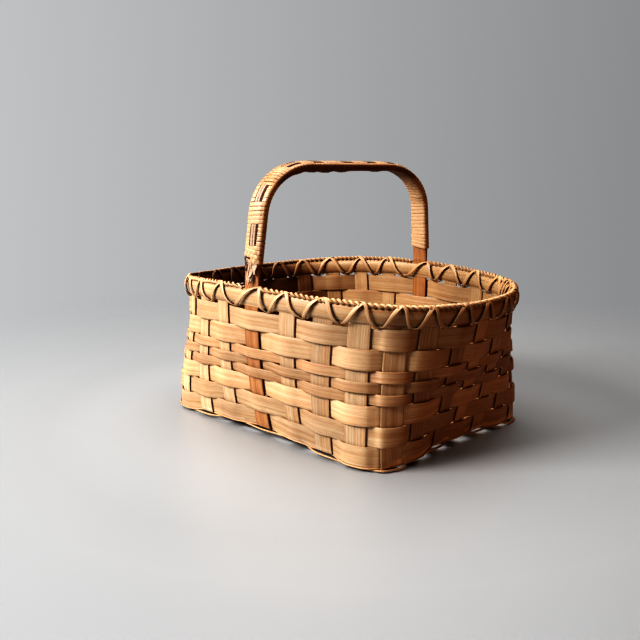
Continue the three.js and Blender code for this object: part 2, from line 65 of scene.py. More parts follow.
# Stakes: places and widths along a side, with the handle's leg in the middle of the long sides.
SIDES = 4
SIDE_STAKES = 7
STAKES = SIDES * SIDE_STAKES
HANDLE_PLACE = SIDE_STAKES // 2
NEAR_LEG = HANDLE_PLACE
FAR_LEG = 2 * SIDE_STAKES + HANDLE_PLACE
HANDLE_WIDTH = 18.0
HANDLE_THICKNESS = 4.8
LEG_THICKNESS = 2.2
SPLINT_THICKNESS = 1.2
LONG_SIDE = ((-0.865, -0.6, -0.32, 0.0, 0.33, 0.605, 0.87), (17, 17, 17, HANDLE_WIDTH, 18, 20, 20))
SHORT_SIDE = ((-0.87, -0.61, -0.29, -0.03, 0.285, 0.57, 0.84), (20, 18, 16, 16, 17, 17, 17))
# Stakes that a splint along X and one along Y cross, in its own order.
LONG_FEET = range(SIDE_STAKES, 2 * SIDE_STAKES)
CROSS_FEET = range(SIDE_STAKES - 1, -1, -1)

# Rows of weavers from the top down.
WIDE_ROW = 17.9
NARROW_ROW = 9.8
ROWS = (WIDE_ROW, WIDE_ROW, NARROW_ROW, NARROW_ROW, NARROW_ROW, WIDE_ROW, WIDE_ROW, WIDE_ROW)
NARROW_ROWS = (2, 3, 4)
RIM_HEIGHT = 15.4
RIM_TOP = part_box("outer_rim")[1].z * MM
RIM_BOTTOM = RIM_TOP - RIM_HEIGHT
# The rim is highest at the handle and sinks by this much towards the -Y and the +Y end.
RIM_DROP = (5.4, 13.7)
RIM_HALF_Y = BASE_HALF[1] + RIM_FLARE[1] + BOW[2]
RIM_SLOT = 3.5
WALL_TOP = RIM_BOTTOM - RIM_SLOT
ROW_EDGES = WALL_TOP - np.r_[0.0, np.cumsum(ROWS)]
BASE_MID = 1.35

# Positions across a strip, from edge to edge, closer together near its edges.
ACROSS = np.array([-1.0, -0.985, -0.94, -0.75, -0.4, 0.0, 0.4, 0.75, 0.94, 0.985, 1.0])
# Sections of strips: the share of the depth that is left at the edges, and the power of the fall.
SPLINT_SECTION = (0.35, 26)
RIM_SECTION = (0.22, 2.6)
LASHING_SECTION = (0.35, 3.2)
HOOP_SECTION = (0.45, 7)
WRAP_SECTION = (0.62, 4.5)
OVERLAY_SECTION = (0.5, 6)
TAIL_SECTION = (0.5, 3)
# Drifts: the samples that each is smoothed over, and its standard size in millimetres, in radians for
# the twist, and in ply radii for the filler's rise.
WEAVER_RISE = (14, 0.14)
BASE_CANE_GIRTH = (9, 0.08)
SPLINT_SWAY, SPLINT_GIRTH = (30, 0.25), (18, 0.14)
RIM_RISE, RIM_DEPTH = (25, 0.25), (30, 0.12)
LASHING_GIRTH, CORNER_GIRTH = (30, 0.25), (12, 0.25)
FILLER_TWIST, FILLER_GIRTH, FILLER_RISE = (24, 0.8), (12, 0.1), (9, 0.12)
HOOP_GIRTH = (40, 0.12)
WRAP_OUT = ((110, 0.06), (16, 0.02))
WRAP_ALONG = ((60, 0.16), (12, 0.05))
WRAP_GIRTH = (50, 0.07)
OVERLAY_SWAY, OVERLAY_GIRTH = (60, 0.2), (30, 0.12)

# What each pair of colours is on, its light one and its dark one.
PALETTE = {
    "stake": ("stakes", (0.72, 0.605, 0.46), (0.5, 0.27, 0.12)),
    "weaver": ("wide weavers", (0.73, 0.585, 0.43), (0.5, 0.285, 0.14)),
    "narrow": ("narrow weavers", (0.67, 0.51, 0.36), (0.42, 0.21, 0.09)),
    "rim": ("rim strips", (0.65, 0.52, 0.38), (0.49, 0.28, 0.13)),
    "handle": ("bare handle", (0.57, 0.33, 0.185), (0.37, 0.17, 0.065)),
    "cane": ("cane", (0.7, 0.545, 0.405), (0.5, 0.3, 0.145)),
    "overlay": ("worn flat cane", (0.66, 0.54, 0.45), (0.34, 0.21, 0.13)),
    # Painted shade: a very dark colour for the channel beside the flat cane, a gap at its left edge and a
    # crack along it; the dark sheet at the wrapping's foot has it too.
    "sliver": ("flat cane's split edge", (0.14, 0.06, 0.025), (0.06, 0.025, 0.012)),
    "floor": ("floor", (0.287, 0.287, 0.287), (0.26691, 0.26691, 0.26691)),
    # The backdrop's two greys are painted light and painted shade on its two sides.
    "backdrop": ("grey behind the floor", (0.375, 0.378, 0.384), (0.25, 0.252, 0.256)),
}
SHADES = ("light", "dark")

# Materials: their colours; fine lines and broad streaks to a metre across the grain; contrast;
# roughness; relief; strength of the pores; and the darkening of worn edges, with painted shade.
GRAINS = {
    "Stake": ("stake", 2100.0, 520.0, 1.0, 0.5, 0.5, 0.5, 0.5),
    "Wide weaver": ("weaver", 1700.0, 380.0, 0.75, 0.5, 0.35, 0.5, 0.3),
    "Narrow weaver": ("narrow", 1700.0, 380.0, 0.75, 0.5, 0.35, 0.5, 0.35),
    "Rim strip": ("rim", 1300.0, 180.0, 1.0, 0.45, 0.25, 0.5, 0.8),
    "Rim cane": ("cane", 1900.0, 500.0, 0.7, 0.42, 0.3, 0.5, 0.3),
    "Filler cord": ("cane", 2600.0, 700.0, 1.2, 0.6, 0.6, 0.5, 0.8),
    "Handle wood": ("handle", 900.0, 220.0, 0.9, 0.42, 0.25, 0.5, 0.8),
    "Handle cane": ("cane", 1900.0, 520.0, 0.7, 0.38, 0.25, 0.2, 0.15),
    "Overlay cane": ("overlay", 2100.0, 600.0, 1.3, 0.55, 0.6, 0.5, 0.8),
    "Overlay painted shade": ("sliver", 2100.0, 600.0, 1.0, 0.7, 0.6, 0.5, 0.8),
}


def length(name, description, default, low, high):
    return bpy.props.FloatProperty(
        name=name, description=description, default=default, min=low, max=high, unit="LENGTH")


class BasketSizes(bpy.types.PropertyGroup):
    splint_thickness: length(
        "Splint thickness", "Thickness of the stakes and weavers", SPLINT_THICKNESS / MM, 0.0005, 0.003)
    weaver_bulge: length("Weaver bulge", "How far a weaver arches over each stake", 0.0015, 0.0, 0.003)
    rim_thickness: length("Rim thickness", "Thickness of each rim strip at its crown", 0.0036, 0.001, 0.006)
    lashing_width: length("Lashing width", "Width of the cane that binds the rim", 0.0036, 0.002, 0.006)
    wrap_pitch: length("Wrap pitch", "Distance between the handle's turns of cane", 0.0038, 0.002, 0.006)
    overlay_width: length("Overlay width", "Width of the flat cane along the handle", 0.006, 0.003, 0.008)


class BasketColours(bpy.types.PropertyGroup):
    __annotations__ = {
        f"{key}_{shade}": bpy.props.FloatVectorProperty(
            name=f"{key} {shade}".capitalize(), description=f"The {shade} colour of the {what}",
            default=colour, min=0.0, max=1.0, size=3, subtype="COLOR")
        for key, (what, *pair) in PALETTE.items() for shade, colour in zip(SHADES, pair)}


def size_of(name):
    return getattr(bpy.context.scene.basket_sizes, name) * MM


def colours(key):
    return [tuple(getattr(bpy.context.scene.basket_colours, f"{key}_{shade}")) for shade in SHADES]


def unit(vectors):
    return vectors / np.maximum(1e-9, np.linalg.norm(vectors, axis=-1, keepdims=True))


def by_height(base, belly, rim, share):
    """Parabola through the values at the base, at half height and at the rim."""
    ends = base * (1 - share) * (1 - 2 * share) + rim * share * (2 * share - 1)
    return ends + belly * 4 * share * (1 - share)


RING_HEIGHTS = 97
SIDE_STEPS = 240
# The table goes on past the rim, to this share of its height.
TABLE_TOP = 1.03


def wall_table():
    """Rings of the wall: |x/a|^n + |y/b|^n = 1 at each height, with the middle of each side bowed out
    by bow * cos^2. Each side is cut at even steps of its length. Returns positions and tangents."""
    shares = np.linspace(0.0, TABLE_TOP, RING_HEIGHTS)[:, None, None]
    half_x, half_y = [BASE_HALF[k] + by_height(0, BELLY_SWELL[k], RIM_FLARE[k], shares) for k in (0, 1)]
    power, bow = by_height(*SQUARENESS, shares), by_height(*BOW, shares)
    corner = np.arctan2(half_y, half_x)
    start = np.concatenate([np.pi - corner, np.pi + corner, 2 * np.pi - corner, 2 * np.pi + corner], axis=1)
    end = np.concatenate([start[:, 1:], start[:, :1] + 2 * np.pi], axis=1)
    angle = start + (end - start) * np.linspace(0, 1, 2 * SIDE_STEPS + 1)
    cos, sin = np.cos(angle), np.sin(angle)
    reach = (np.abs(cos / half_x) ** power + np.abs(sin / half_y) ** power) ** (-1 / power)
    x, y = reach * cos, reach * sin
    corner_share = 0.5 ** (1 / power)
    swing_x, swing_y = [
        np.cos(np.pi / 2 * np.minimum(1, np.abs(offset) / (half * corner_share))) ** 2
        for offset, half in ((y, half_y), (x, half_x))]
    long_side = (np.arange(SIDES) % 2 == 0)[None, :, None]
    x = x + np.where(long_side, np.sign(cos) * bow * swing_x, 0)
    y = y + np.where(long_side, 0, np.sign(sin) * bow * swing_y)
    gone = np.cumsum(np.hypot(np.diff(x, axis=2), np.diff(y, axis=2)), axis=2)
    gone = np.concatenate([np.zeros_like(gone[:, :, :1]), gone], axis=2)
    steps = np.arange(SIDE_STEPS) / SIDE_STEPS
    points = np.array([np.concatenate([
        np.stack([np.interp(steps * gone[ring, k, -1], gone[ring, k], c[ring, k]) for c in (x, y)], -1)
        for k in range(SIDES)]) for ring in range(RING_HEIGHTS)])
    return points, unit(np.roll(points, -1, axis=1) - np.roll(points, 1, axis=1))


WALL_POINTS, WALL_TANGENTS = wall_table()


def wall_flat(place, height):
    """Position and tangent in plan at ring places (0 to 8, two per side from -X) and heights, straight
    between the table's entries."""
    column = np.mod(place, 2 * SIDES) * SIDE_STEPS / 2
    row = np.clip(height / RIM_TOP / TABLE_TOP, 0, 1) * (RING_HEIGHTS - 1)
    column, row = np.broadcast_arrays(column, row)
    left = np.floor(column).astype(int)
    low = np.minimum(np.floor(row).astype(int), RING_HEIGHTS - 2)
    s, t = (column - left)[..., None], (row - low)[..., None]
    left, right = [(left + k) % (SIDES * SIDE_STEPS) for k in (0, 1)]
    point, tangent = [
        (table[low, left] * (1 - s) + table[low, right] * s) * (1 - t)
        + (table[low + 1, left] * (1 - s) + table[low + 1, right] * s) * t
        for table in (WALL_POINTS, WALL_TANGENTS)]
    return point, unit(tangent)


def stake_list():
    """Ring place, width and thickness of each stake, in order from the +Y end of the -X side."""
    places, widths = [], []
    for side in range(SIDES):
        own, wide = np.array((LONG_SIDE, SHORT_SIDE)[side % 2])
        if side >= 2:
            own, wide = -own[::-1], wide[::-1]
        places.append(2 * side + 1 + own)
        widths.append(wide)
    thickness = np.full(STAKES, SPLINT_THICKNESS)
    thickness[[NEAR_LEG, FAR_LEG]] = LEG_THICKNESS
    return np.concatenate(places), np.concatenate(widths), thickness


STAKE_PLACE, STAKE_WIDTH, STAKE_THICKNESS = stake_list()
STAKE_FOOT = wall_flat(STAKE_PLACE, np.zeros(STAKES))[0]
OUTER_X = np.abs(STAKE_FOOT[[SIDE_STAKES, 2 * SIDE_STAKES - 1], 0]).min()
OUTER_Y = np.abs(STAKE_FOOT[[0, SIDE_STAKES - 1], 1]).min()


def base_lift(x, y):
    """Rise of the base: nothing at the outermost crossings, growing as 1 - (x/X)^2 (y/Y)^2."""
    return BASE_LIFT * (1 - np.minimum(1, np.abs(x) / OUTER_X) ** 2 * np.minimum(1, np.abs(y) / OUTER_Y) ** 2)


def wall(place, height, out=0.0):
    """Points of the wall moved outwards by out, with their tangents and normals. The base's rise fades
    up the wall as (1 - z/top)^1.5."""
    place, height, out = np.broadcast_arrays(np.asarray(place, float), height, out)
    flat, around = wall_flat(place, height)
    foot = wall_flat(place, np.zeros_like(height))[0]
    rise = base_lift(foot[..., 0], foot[..., 1]) * np.maximum(0, 1 - height / WALL_TOP) ** 1.5
    zero = np.zeros_like(rise)[..., None]
    tangent = np.concatenate([around, zero], -1)
    normal = np.stack([around[..., 1], -around[..., 0], zero[..., 0]], -1)
    return np.concatenate([flat, (height + rise)[..., None]], -1) + normal * out[..., None], tangent, normal


def rim_drop(y, z):
    """Sinking of the wall towards its ends: the end's drop times (y/Y)^2, growing with height up to the
    rim, which sinks as a whole."""
    return np.where(y < 0, *RIM_DROP) * (y / RIM_HALF_Y) ** 2 * np.clip(z / RIM_BOTTOM, 0, 1)


def ends_side(stake):
    return stake % SIDE_STAKES == SIDE_STAKES - 1


def corner_after(stake):
    """Ring place of the corner where a stake's side ends."""
    return 2.0 * (stake // SIDE_STAKES + 1)


def even_places(line, step, closed):
    """Fractional indices of points a step apart along a line of control points."""
    ends = np.vstack([line, line[:1]]) if closed else line
    gone = np.r_[0, np.cumsum(np.linalg.norm(np.diff(ends, axis=0), axis=1))]
    wanted = np.linspace(0, gone[-1], max(8, int(gone[-1] / step)), endpoint=not closed)
    return np.interp(wanted, gone, np.arange(len(ends)))


def at_places(values, places, closed):
    """Values at fractional indices, straight between neighbours."""
    values = np.asarray(values, float)
    values = np.concatenate([values, values[:1]]) if closed else values
    low = np.minimum(np.floor(places).astype(int), len(values) - 2)
    part = (places - low).reshape((-1,) + (1,) * (values.ndim - 1))
    return values[low] * (1 - part) + values[low + 1] * part


def smooth(values, sigma, closed):
    """Gaussian average along the first axis, sigma in samples. An open line is carried on by its
    mirror image through each end, which keeps the ends in place."""
    pad = 0 if closed else min(len(values) - 2, int(4 * sigma) + 1)
    if pad:
        before = 2 * values[:1] - values[pad:0:-1]
        after = 2 * values[-1:] - values[-2:-pad - 2:-1]
        values = np.concatenate([before, values, after])
    count = len(values)
    gain = np.exp(-2 * (np.pi * sigma * np.fft.rfftfreq(count)) ** 2)
    gain = gain.reshape((-1,) + (1,) * (values.ndim - 1))
    result = np.fft.irfft(np.fft.rfft(values, axis=0) * gain, count, axis=0)
    return result[pad:count - pad] if pad else result


def rounded(values, places, sigma, closed):
    """Values at fractional indices, smoothed along the line."""
    return smooth(at_places(values, places, closed), sigma, closed)


def drift(seed, count, kind, closed=False):
    """Slow random drift: white noise smoothed over so many samples, with the given standard size."""
    spacing, spread = kind
    noise = smooth(np.random.default_rng(seed).standard_normal((count, 1)), spacing, closed)[:, 0]
    return noise / max(1e-9, noise.std()) * spread


def along(points, closed):
    """Vectors along the first axis, each over both neighbours."""
    return np.roll(points, -1, axis=0) - np.roll(points, 1, axis=0) if closed else np.gradient(points, axis=0)


def section_places(count):
    """Positions across a strip from edge to edge: sines of even angles, or the finer list."""
    return ACROSS if count == len(ACROSS) else np.sin(np.linspace(-np.pi / 2, np.pi / 2, count))


def band(centre, side, half, places=ACROSS):
    """Sheet of points across a line: half widths times the places, the way of the side vectors."""
    return centre[:, None, :] + side[:, None, :] * (half[:, None] * places)[..., None]


def strip_skin(sheet, front, back, section, closed):
    """Closed skin round a sheet of points (along, across): its front and back stand off the sheet along
    its normal by their own depths times sqrt(1 - (1 - edge^2) |v|^power)."""
    edge, power = section
    normal = unit(np.cross(np.gradient(sheet, axis=1), along(sheet, closed)))
    fall = np.sqrt(1 - (1 - edge ** 2) * np.abs(section_places(sheet.shape[1])) ** power)[:, None]
    top = sheet + normal * fall * np.reshape(front, (-1, 1, 1))
    under = sheet - normal * fall * np.reshape(back, (-1, 1, 1))
    return np.concatenate([top, under[:, ::-1]], axis=1)


def path_strip(points, outs, width, front, back, section, closed=False, across=7):
    """A strip of cane along a path: its flat lies square to the out vectors."""
    ahead = unit(along(points, closed))
    outs = unit(outs - ahead * (outs * ahead).sum(-1, keepdims=True))
    half = width / 2 + np.zeros(len(points))
    sheet = band(points, np.cross(ahead, outs), half, section_places(across))
    return strip_skin(sheet, front, back, section, closed)


CORD_SIDES = 10


def round_skin(points, radius, closed, squash=1.0):
    """A round cord along a path: circles square to it, squashed in height."""
    ahead = unit(along(points, closed))
    side = unit(np.cross(ahead, UP + 0 * ahead))
    over = np.cross(side, ahead)
    angle = np.linspace(0, 2 * np.pi, CORD_SIDES, endpoint=False)[None, :, None]
    ring = side[:, None, :] * np.cos(angle) + squash * over[:, None, :] * np.sin(angle)
    return points[:, None, :] + ring * np.reshape(radius, (-1, 1, 1))


# Below these heights a face that is turned inwards, and one that is turned up, is inside the basket.
BODY_TOP = RIM_TOP + 4.0
BASE_TOP = 10.0
# Painted shade inside the basket: its share on a face turned neither in nor out, and its growth with the turn
# inwards.
INNER_START, INNER_GAIN = 0.5, 2.5
# The way that the light comes from: wood that faces it keeps its colour, and the rest gets painted shade.
LIT_SIDE = unit(np.array([-1.0, 0.55, 0.35]))
# Painted shade on the sides away from the light: its share at first, its fall with the turn towards the
# light, and its growth with the turn inwards.
UNLIT_SHADE_START, UNLIT_SHADE_FALL, UNLIT_SHADE_INWARD = 0.52, 1.3, 0.45
# Hand grime and painted shade darken the handle from this height up, over this fade, its top by this much
# less. The last value is the share of that dark that goes into the painted shade of the unlit sides.
GRIP_HEIGHT, GRIP_FADE, GRIP_TOP, GRIP_UNLIT_SHADE = 226.0, 12.0, 0.3, 0.45


def shade_and_grime_shares(place, facing):
    """Shares of painted shade from 0 to 1 at each point, by its place and the way it faces. Inner grows
    with its turn towards the basket's inside, or with height where hands grip the handle, as hand grime
    and painted shade. The unlit share falls with its turn towards the light and grows with the turn inwards."""
    inward = -(facing[:, :2] * unit(place[:, :2])).sum(axis=1) * (place[:, 2] < BODY_TOP)
    inner = INNER_START + INNER_GAIN * np.maximum(inward, facing[:, 2] * (place[:, 2] < BASE_TOP))
    unlit_shade = UNLIT_SHADE_START - UNLIT_SHADE_FALL * facing @ LIT_SIDE + UNLIT_SHADE_INWARD * np.clip(inward, 0, 1)
    grip_grime_and_shade = np.clip((place[:, 2] - GRIP_HEIGHT) / GRIP_FADE, 0, 1)
    grip_grime_and_shade = grip_grime_and_shade * np.clip(1 - GRIP_TOP * facing[:, 2], 0, 1)
    return np.maximum(np.clip(inner, 0, 1), grip_grime_and_shade), np.maximum(np.clip(unlit_shade, 0, 1), GRIP_UNLIT_SHADE * grip_grime_and_shade)


def signed_volume(faces):
    """Sum over faces (face, corner) of mean . (corner x next corner): six times the volume that they
    enclose, above 0 where they face outwards."""
    middle = faces.mean(axis=1, keepdims=True)
    return (middle * np.cross(faces, np.roll(faces, -1, axis=1))).sum()


def linked(name, data):
    item = bpy.data.objects.new(name, data)
    bpy.context.scene.collection.objects.link(item)
    return item


def mesh_piece(name, skin, closed, tint):
    """Mesh of a skin of points (along, round), which closes on itself round its section and, where
    closed, along its length too. The Grain map holds distances in metres along and round the piece.
    Its attributes are edge, which is 1 at a strip's edges, inner and the unlit share, both shares of painted
    shade, and tint."""
    skin = skin.copy()
    skin[..., 2] -= rim_drop(skin[..., 1], skin[..., 2])
    count, sides = skin.shape[:2]
    spans = count if closed else count - 1
    ring, side = [index.ravel() for index in np.broadcast_arrays(
        np.arange(spans)[:, None, None] + [0, 1, 1, 0], np.arange(sides)[:, None] + [0, 0, 1, 1])]
    quads = spans * sides
    starts = 4 * np.arange(quads)
    if not closed:
        around = np.arange(sides)
        ring = np.r_[ring, 0 * around, 0 * around + spans]
        side = np.r_[side, around, around[::-1]]
        starts = np.r_[starts, 4 * quads, 4 * quads + sides]
    loops = ring % count * sides + side % sides
    middle = skin.mean(axis=1)
    u = np.r_[0, np.cumsum(np.linalg.norm(np.diff(np.vstack([middle, middle[:1]]), axis=0), axis=1))] / MM
    v = np.r_[0, np.cumsum(np.linalg.norm(np.roll(skin, -1, axis=1) - skin, axis=2).mean(axis=0))] / MM
    places = skin.reshape(-1, 3)
    points = places / MM
    volume = signed_volume(points[loops[:4 * quads].reshape(-1, 4)])
    if not closed:
        volume += signed_volume(points[loops[4 * quads:].reshape(2, -1)])
    mesh = bpy.data.meshes.new(name)
    mesh.vertices.add(len(points))
    mesh.vertices.foreach_set("co", points.astype(np.float32).ravel())
    mesh.loops.add(len(loops))
    mesh.loops.foreach_set("vertex_index", loops.astype(np.int32))
    mesh.polygons.add(len(starts))
    mesh.polygons.foreach_set("loop_start", starts.astype(np.int32))
    grain = mesh.uv_layers.new(name="Grain")
    grain.data.foreach_set("uv", np.stack([u[ring], v[side]], -1).astype(np.float32).ravel())
    mesh.update(calc_edges=True)
    mesh.validate()
    if volume < 0:
        mesh.flip_normals()
    facing = np.empty(points.size, np.float32)
    mesh.vertex_normals.foreach_get("vector", facing)
    inner, unlit_shade = shade_and_grime_shares(places, facing.reshape(-1, 3))
    edge = np.abs(section_places(sides // 2))
    edge = np.tile(np.r_[edge, edge[::-1]], count)
    layers = {"edge": edge, "inner": inner, "unlit_shade": unlit_shade, "tint": np.full(len(points), tint)}
    for label, values in layers.items():
        layer = mesh.attributes.new(label, "FLOAT", "POINT")
        layer.data.foreach_set("value", values.astype(np.float32))
    mesh.polygons.foreach_set("use_smooth", np.ones(len(mesh.polygons), bool))
    return linked(name, mesh)


def add_piece(name, skin, closed, tint, material, slot, *nodes):
    """Makes a piece, gives it its material and its body, and hides the CAD nodes that it stands for."""
    piece = mesh_piece(name, skin, closed, tint)
    piece.data.materials.append(material)
    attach(piece, "root")
    if nodes:
        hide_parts(*nodes)


class Graph:
    """The node tree of a material or a world, with nodes added one by one. An input is given as a
    value, or as the socket that is linked to it."""

    def __init__(self, owner):
        owner.use_nodes = True
        self.tree = owner.node_tree

    def put(self, node, inputs):
        for key, value in inputs.items():
            if isinstance(value, bpy.types.NodeSocket):
                self.tree.links.new(value, node.inputs[key])
            else:
                node.inputs[key].default_value = value

    def add(self, kind, inputs=(), **settings):
        node = self.tree.nodes.new(kind)
        for key, value in settings.items():
            setattr(node, key, value)
        self.put(node, dict(inputs))
        return node

    def noise(self, vector, scale, detail, rough=0.55):
        return self.add("ShaderNodeTexNoise", {
            "Vector": vector, "Scale": scale, "Detail": detail, "Roughness": rough}).outputs["Fac"]

    def grain(self, flow, lengthwise, across, detail, rough):
        """Noise drawn out along the Grain map: so many repeats to a metre along it and across it."""
        drawn = self.add("ShaderNodeMapping", {"Vector": flow, "Scale": (lengthwise, across, 1.0)})
        return self.noise(drawn.outputs["Vector"], 1.0, detail, rough)

    def ramp(self, value, low, high, start=0.0, end=1.0):
        made = self.add("ShaderNodeMapRange", {
            "Value": value, "From Min": low, "From Max": high, "To Min": start, "To Max": end})
        return made.outputs["Result"]

    def math(self, operation, a, b):
        return self.add("ShaderNodeMath", {0: a, 1: b}, operation=operation).outputs[0]

    def mix(self, factor, a, b, blend="MIX"):
        a, b = [c if isinstance(c, bpy.types.NodeSocket) else (*c, 1.0) for c in (a, b)]
        made = self.add("ShaderNodeMix", {0: factor, 6: a, 7: b}, data_type="RGBA", blend_type=blend)
        return made.outputs[2]


def new_material(name):
    """A new material with its node graph and its shader."""
    material = bpy.data.materials.new(name)
    graph = Graph(material)
    return material, graph, graph.tree.nodes["Principled BSDF"]


# What the colour is multiplied by as painted shade: inside the basket, on the sides away from the light, and
# on both.
INNER_TONE = (0.7, 0.62, 0.5)
UNLIT_SHADE_TONE = (1.0, 0.74, 0.48)
SHADE_TONE = (0.3, 0.24, 0.2)
# Repeats to a metre along the grain, for lines, streaks and pores, and in space, for patches and grime.
LINES_ALONG, STREAKS_ALONG, PORES_ALONG = 14.0, 5.0, 110.0
PATCHES, GRIME = 22.0, 60.0
# Pores are finer than the lines by this. Each piece has its own stretch of the grain, this far apart.
PORE_FINENESS = 1.6
TINT_APART = 90.0
# Shares of lines and streaks in the colour, and of streaks in the relief.
LINE_SHARE, STREAK_SHARE, STREAK_RELIEF = 0.55, 0.45, 0.6
# How far below and above its middle the grain is all dark and all light, at a contrast of 1.
GRAIN_DARK, GRAIN_LIGHT = 0.17, 0.13
# Ramps, from two values to two others: the shade and hue of patches, and the shade of the tint.
PATCH_SHADE = (0.35, 0.65, -0.09, 0.09)
PATCH_HUE = (0.3, 0.7, 0.497, 0.503)
TINT_SHADE = (0.0, 1.0, -0.13, 0.13)
# Where pores, edges darkened where worn and by painted shade, grime and the lines' gloss begin and are full.
PORE_RAMP, EDGE_RAMP, GRIME_RAMP, GLOSS_RAMP = (0.62, 0.74), (0.86, 0.99), (0.3, 0.65), (0.3, 0.7)
# Share of the darkening of worn edges and of their painted shade that is there without grime, and roughness
# added where lines are low and high.
CLEAN_WEAR_AND_SHADE = 0.35
ROUGHER, SMOOTHER = 0.12, -0.04
# Pores, and edges darkened where worn and by painted shade, are this share of the dark colour.
PORE_DARK, WORN_AND_SHADED_DARK = 0.45, 0.5
BUMP_DEPTH = 0.00025
SPECULAR = 0.4


def wood_material(name):
    """Split wood: fine lines and broad streaks run along the piece's Grain map, short dark pores lie between
    them, slow patches and the piece's own tint shift its colour, and edges are darker, worn and in painted
    shade. Two shares of painted shade, inside and on the unlit sides, and their product, multiply it by the
    three tones."""
    key, fine, streak, contrast, rough, relief, pores, wear_and_shade = GRAINS[name]
    light, dark = colours(key)
    material, graph, shader = new_material(name)
    tint, edge, inner, unlit_shade = [
        graph.add("ShaderNodeAttribute", attribute_name=label).outputs["Fac"]
        for label in ("tint", "edge", "inner", "unlit_shade")]
    grain_map = graph.add("ShaderNodeUVMap", uv_map="Grain").outputs["UV"]
    apart = graph.add("ShaderNodeCombineXYZ", {"Z": graph.math("MULTIPLY", tint, TINT_APART)}).outputs[0]
    flow = graph.add("ShaderNodeVectorMath", {0: grain_map, 1: apart}, operation="ADD").outputs[0]
    place = graph.add("ShaderNodeTexCoord").outputs["Object"]
    lines = graph.grain(flow, LINES_ALONG, fine, 3.0, 0.6)
    streaks = graph.grain(flow, STREAKS_ALONG, streak, 2.0, 0.5)
    dashes = graph.grain(flow, PORES_ALONG, PORE_FINENESS * fine, 1.0, 0.5)
    patches = graph.noise(place, PATCHES, 3.0, 0.6)
    grime = graph.noise(place, GRIME, 4.0, 0.65)
    mixed = graph.math(
        "ADD", graph.math("MULTIPLY", lines, LINE_SHARE), graph.math("MULTIPLY", streaks, STREAK_SHARE))
    turning = graph.ramp(mixed, 0.5 - GRAIN_DARK / contrast, 0.5 + GRAIN_LIGHT / contrast)
    colour = graph.mix(turning, dark, light)
    shade = graph.math("ADD", graph.ramp(patches, *PATCH_SHADE), graph.ramp(tint, *TINT_SHADE))
    colour = graph.add("ShaderNodeHueSaturation", {
        "Color": colour, "Value": graph.math("ADD", shade, 1.0),
        "Hue": graph.ramp(patches, *PATCH_HUE)}).outputs["Color"]
    pore = graph.math("MULTIPLY", graph.ramp(dashes, *PORE_RAMP), pores)
    # Edges are darker where worn and by painted shade, the shadow lines where strips meet, patchy with the
    # grime.
    edge_strength = graph.ramp(grime, *GRIME_RAMP, CLEAN_WEAR_AND_SHADE * wear_and_shade, wear_and_shade)
    worn = graph.math("MULTIPLY", graph.ramp(edge, *EDGE_RAMP), edge_strength)
    for share, darker in ((pore, PORE_DARK), (worn, WORN_AND_SHADED_DARK)):
        colour = graph.mix(share, colour, [c * darker for c in dark])
    # Painted shade: inside the basket, on the sides away from the light, and deepest where both meet.
    both = graph.math("MULTIPLY", inner, unlit_shade)
    for share, tone in ((inner, INNER_TONE), (unlit_shade, UNLIT_SHADE_TONE), (both, SHADE_TONE)):
        colour = graph.mix(share, colour, tone, "MULTIPLY")
    ridges = graph.math("ADD", lines, graph.math("MULTIPLY", streaks, STREAK_RELIEF))
    height = graph.math("SUBTRACT", ridges, pore)
    bump = graph.add("ShaderNodeBump", {"Height": height, "Strength": relief, "Distance": BUMP_DEPTH})
    graph.put(shader, {
        "Base Color": colour,
        "Roughness": graph.ramp(lines, *GLOSS_RAMP, rough + ROUGHER, rough + SMOOTHER),
        "Specular IOR Level": SPECULAR, "Normal": bump.outputs["Normal"]})
    return material


# Distance between samples along a strip.
STRIP_STEP = 1.3
# Rows are packed hard against each other, by this much. A row's edges slip up and down at each stake.
ROW_OVERLAP = 0.12
EDGE_SLIP = 0.25
# On each side in turn, how much higher the top weaver reaches into the slot below the rim.
SLOT_RAISE = (0.0, 1.5, 0.6, 1.5)
# A weaver outside (1) and inside (-1) a stake: gap to it, share of the bulge, and reach past its edges.
WEAVER_FACES = {1: (0.1, 1.0, 0.4), -1: (0.2, 0.6, 0.8)}
# Offsets across a stake, as shares of its half width, and how much of the bulge each takes.
OVER_STAKE = ((-1.0, 0.1), (-0.55, 0.75), (0.0, 1.0), (0.55, 0.75), (1.0, 0.1))
# Rounding of weavers and base canes, in millimetres.
WEAVER_ROUNDING = 1.7
CANE_ROUNDING = 2.2
# Two thin canes round the foot of the wall: radius, heights, and gap outside and inside a stake.
BASE_CANE_RADIUS = 1.0
BASE_CANE_HEIGHTS = (3.3, 1.7)
BASE_CANE_GAPS = {1: 0.9, -1: 0.1}
BASE_CANE_SQUASH = 0.85


def weaver_outside(stake, row):
    return (stake + row) % 2 == 1


def from_to(low, high):
    """Heights of the positions across a strip, from its lower to its upper edge."""
    return low + (high - low) * (ACROSS + 1) / 2


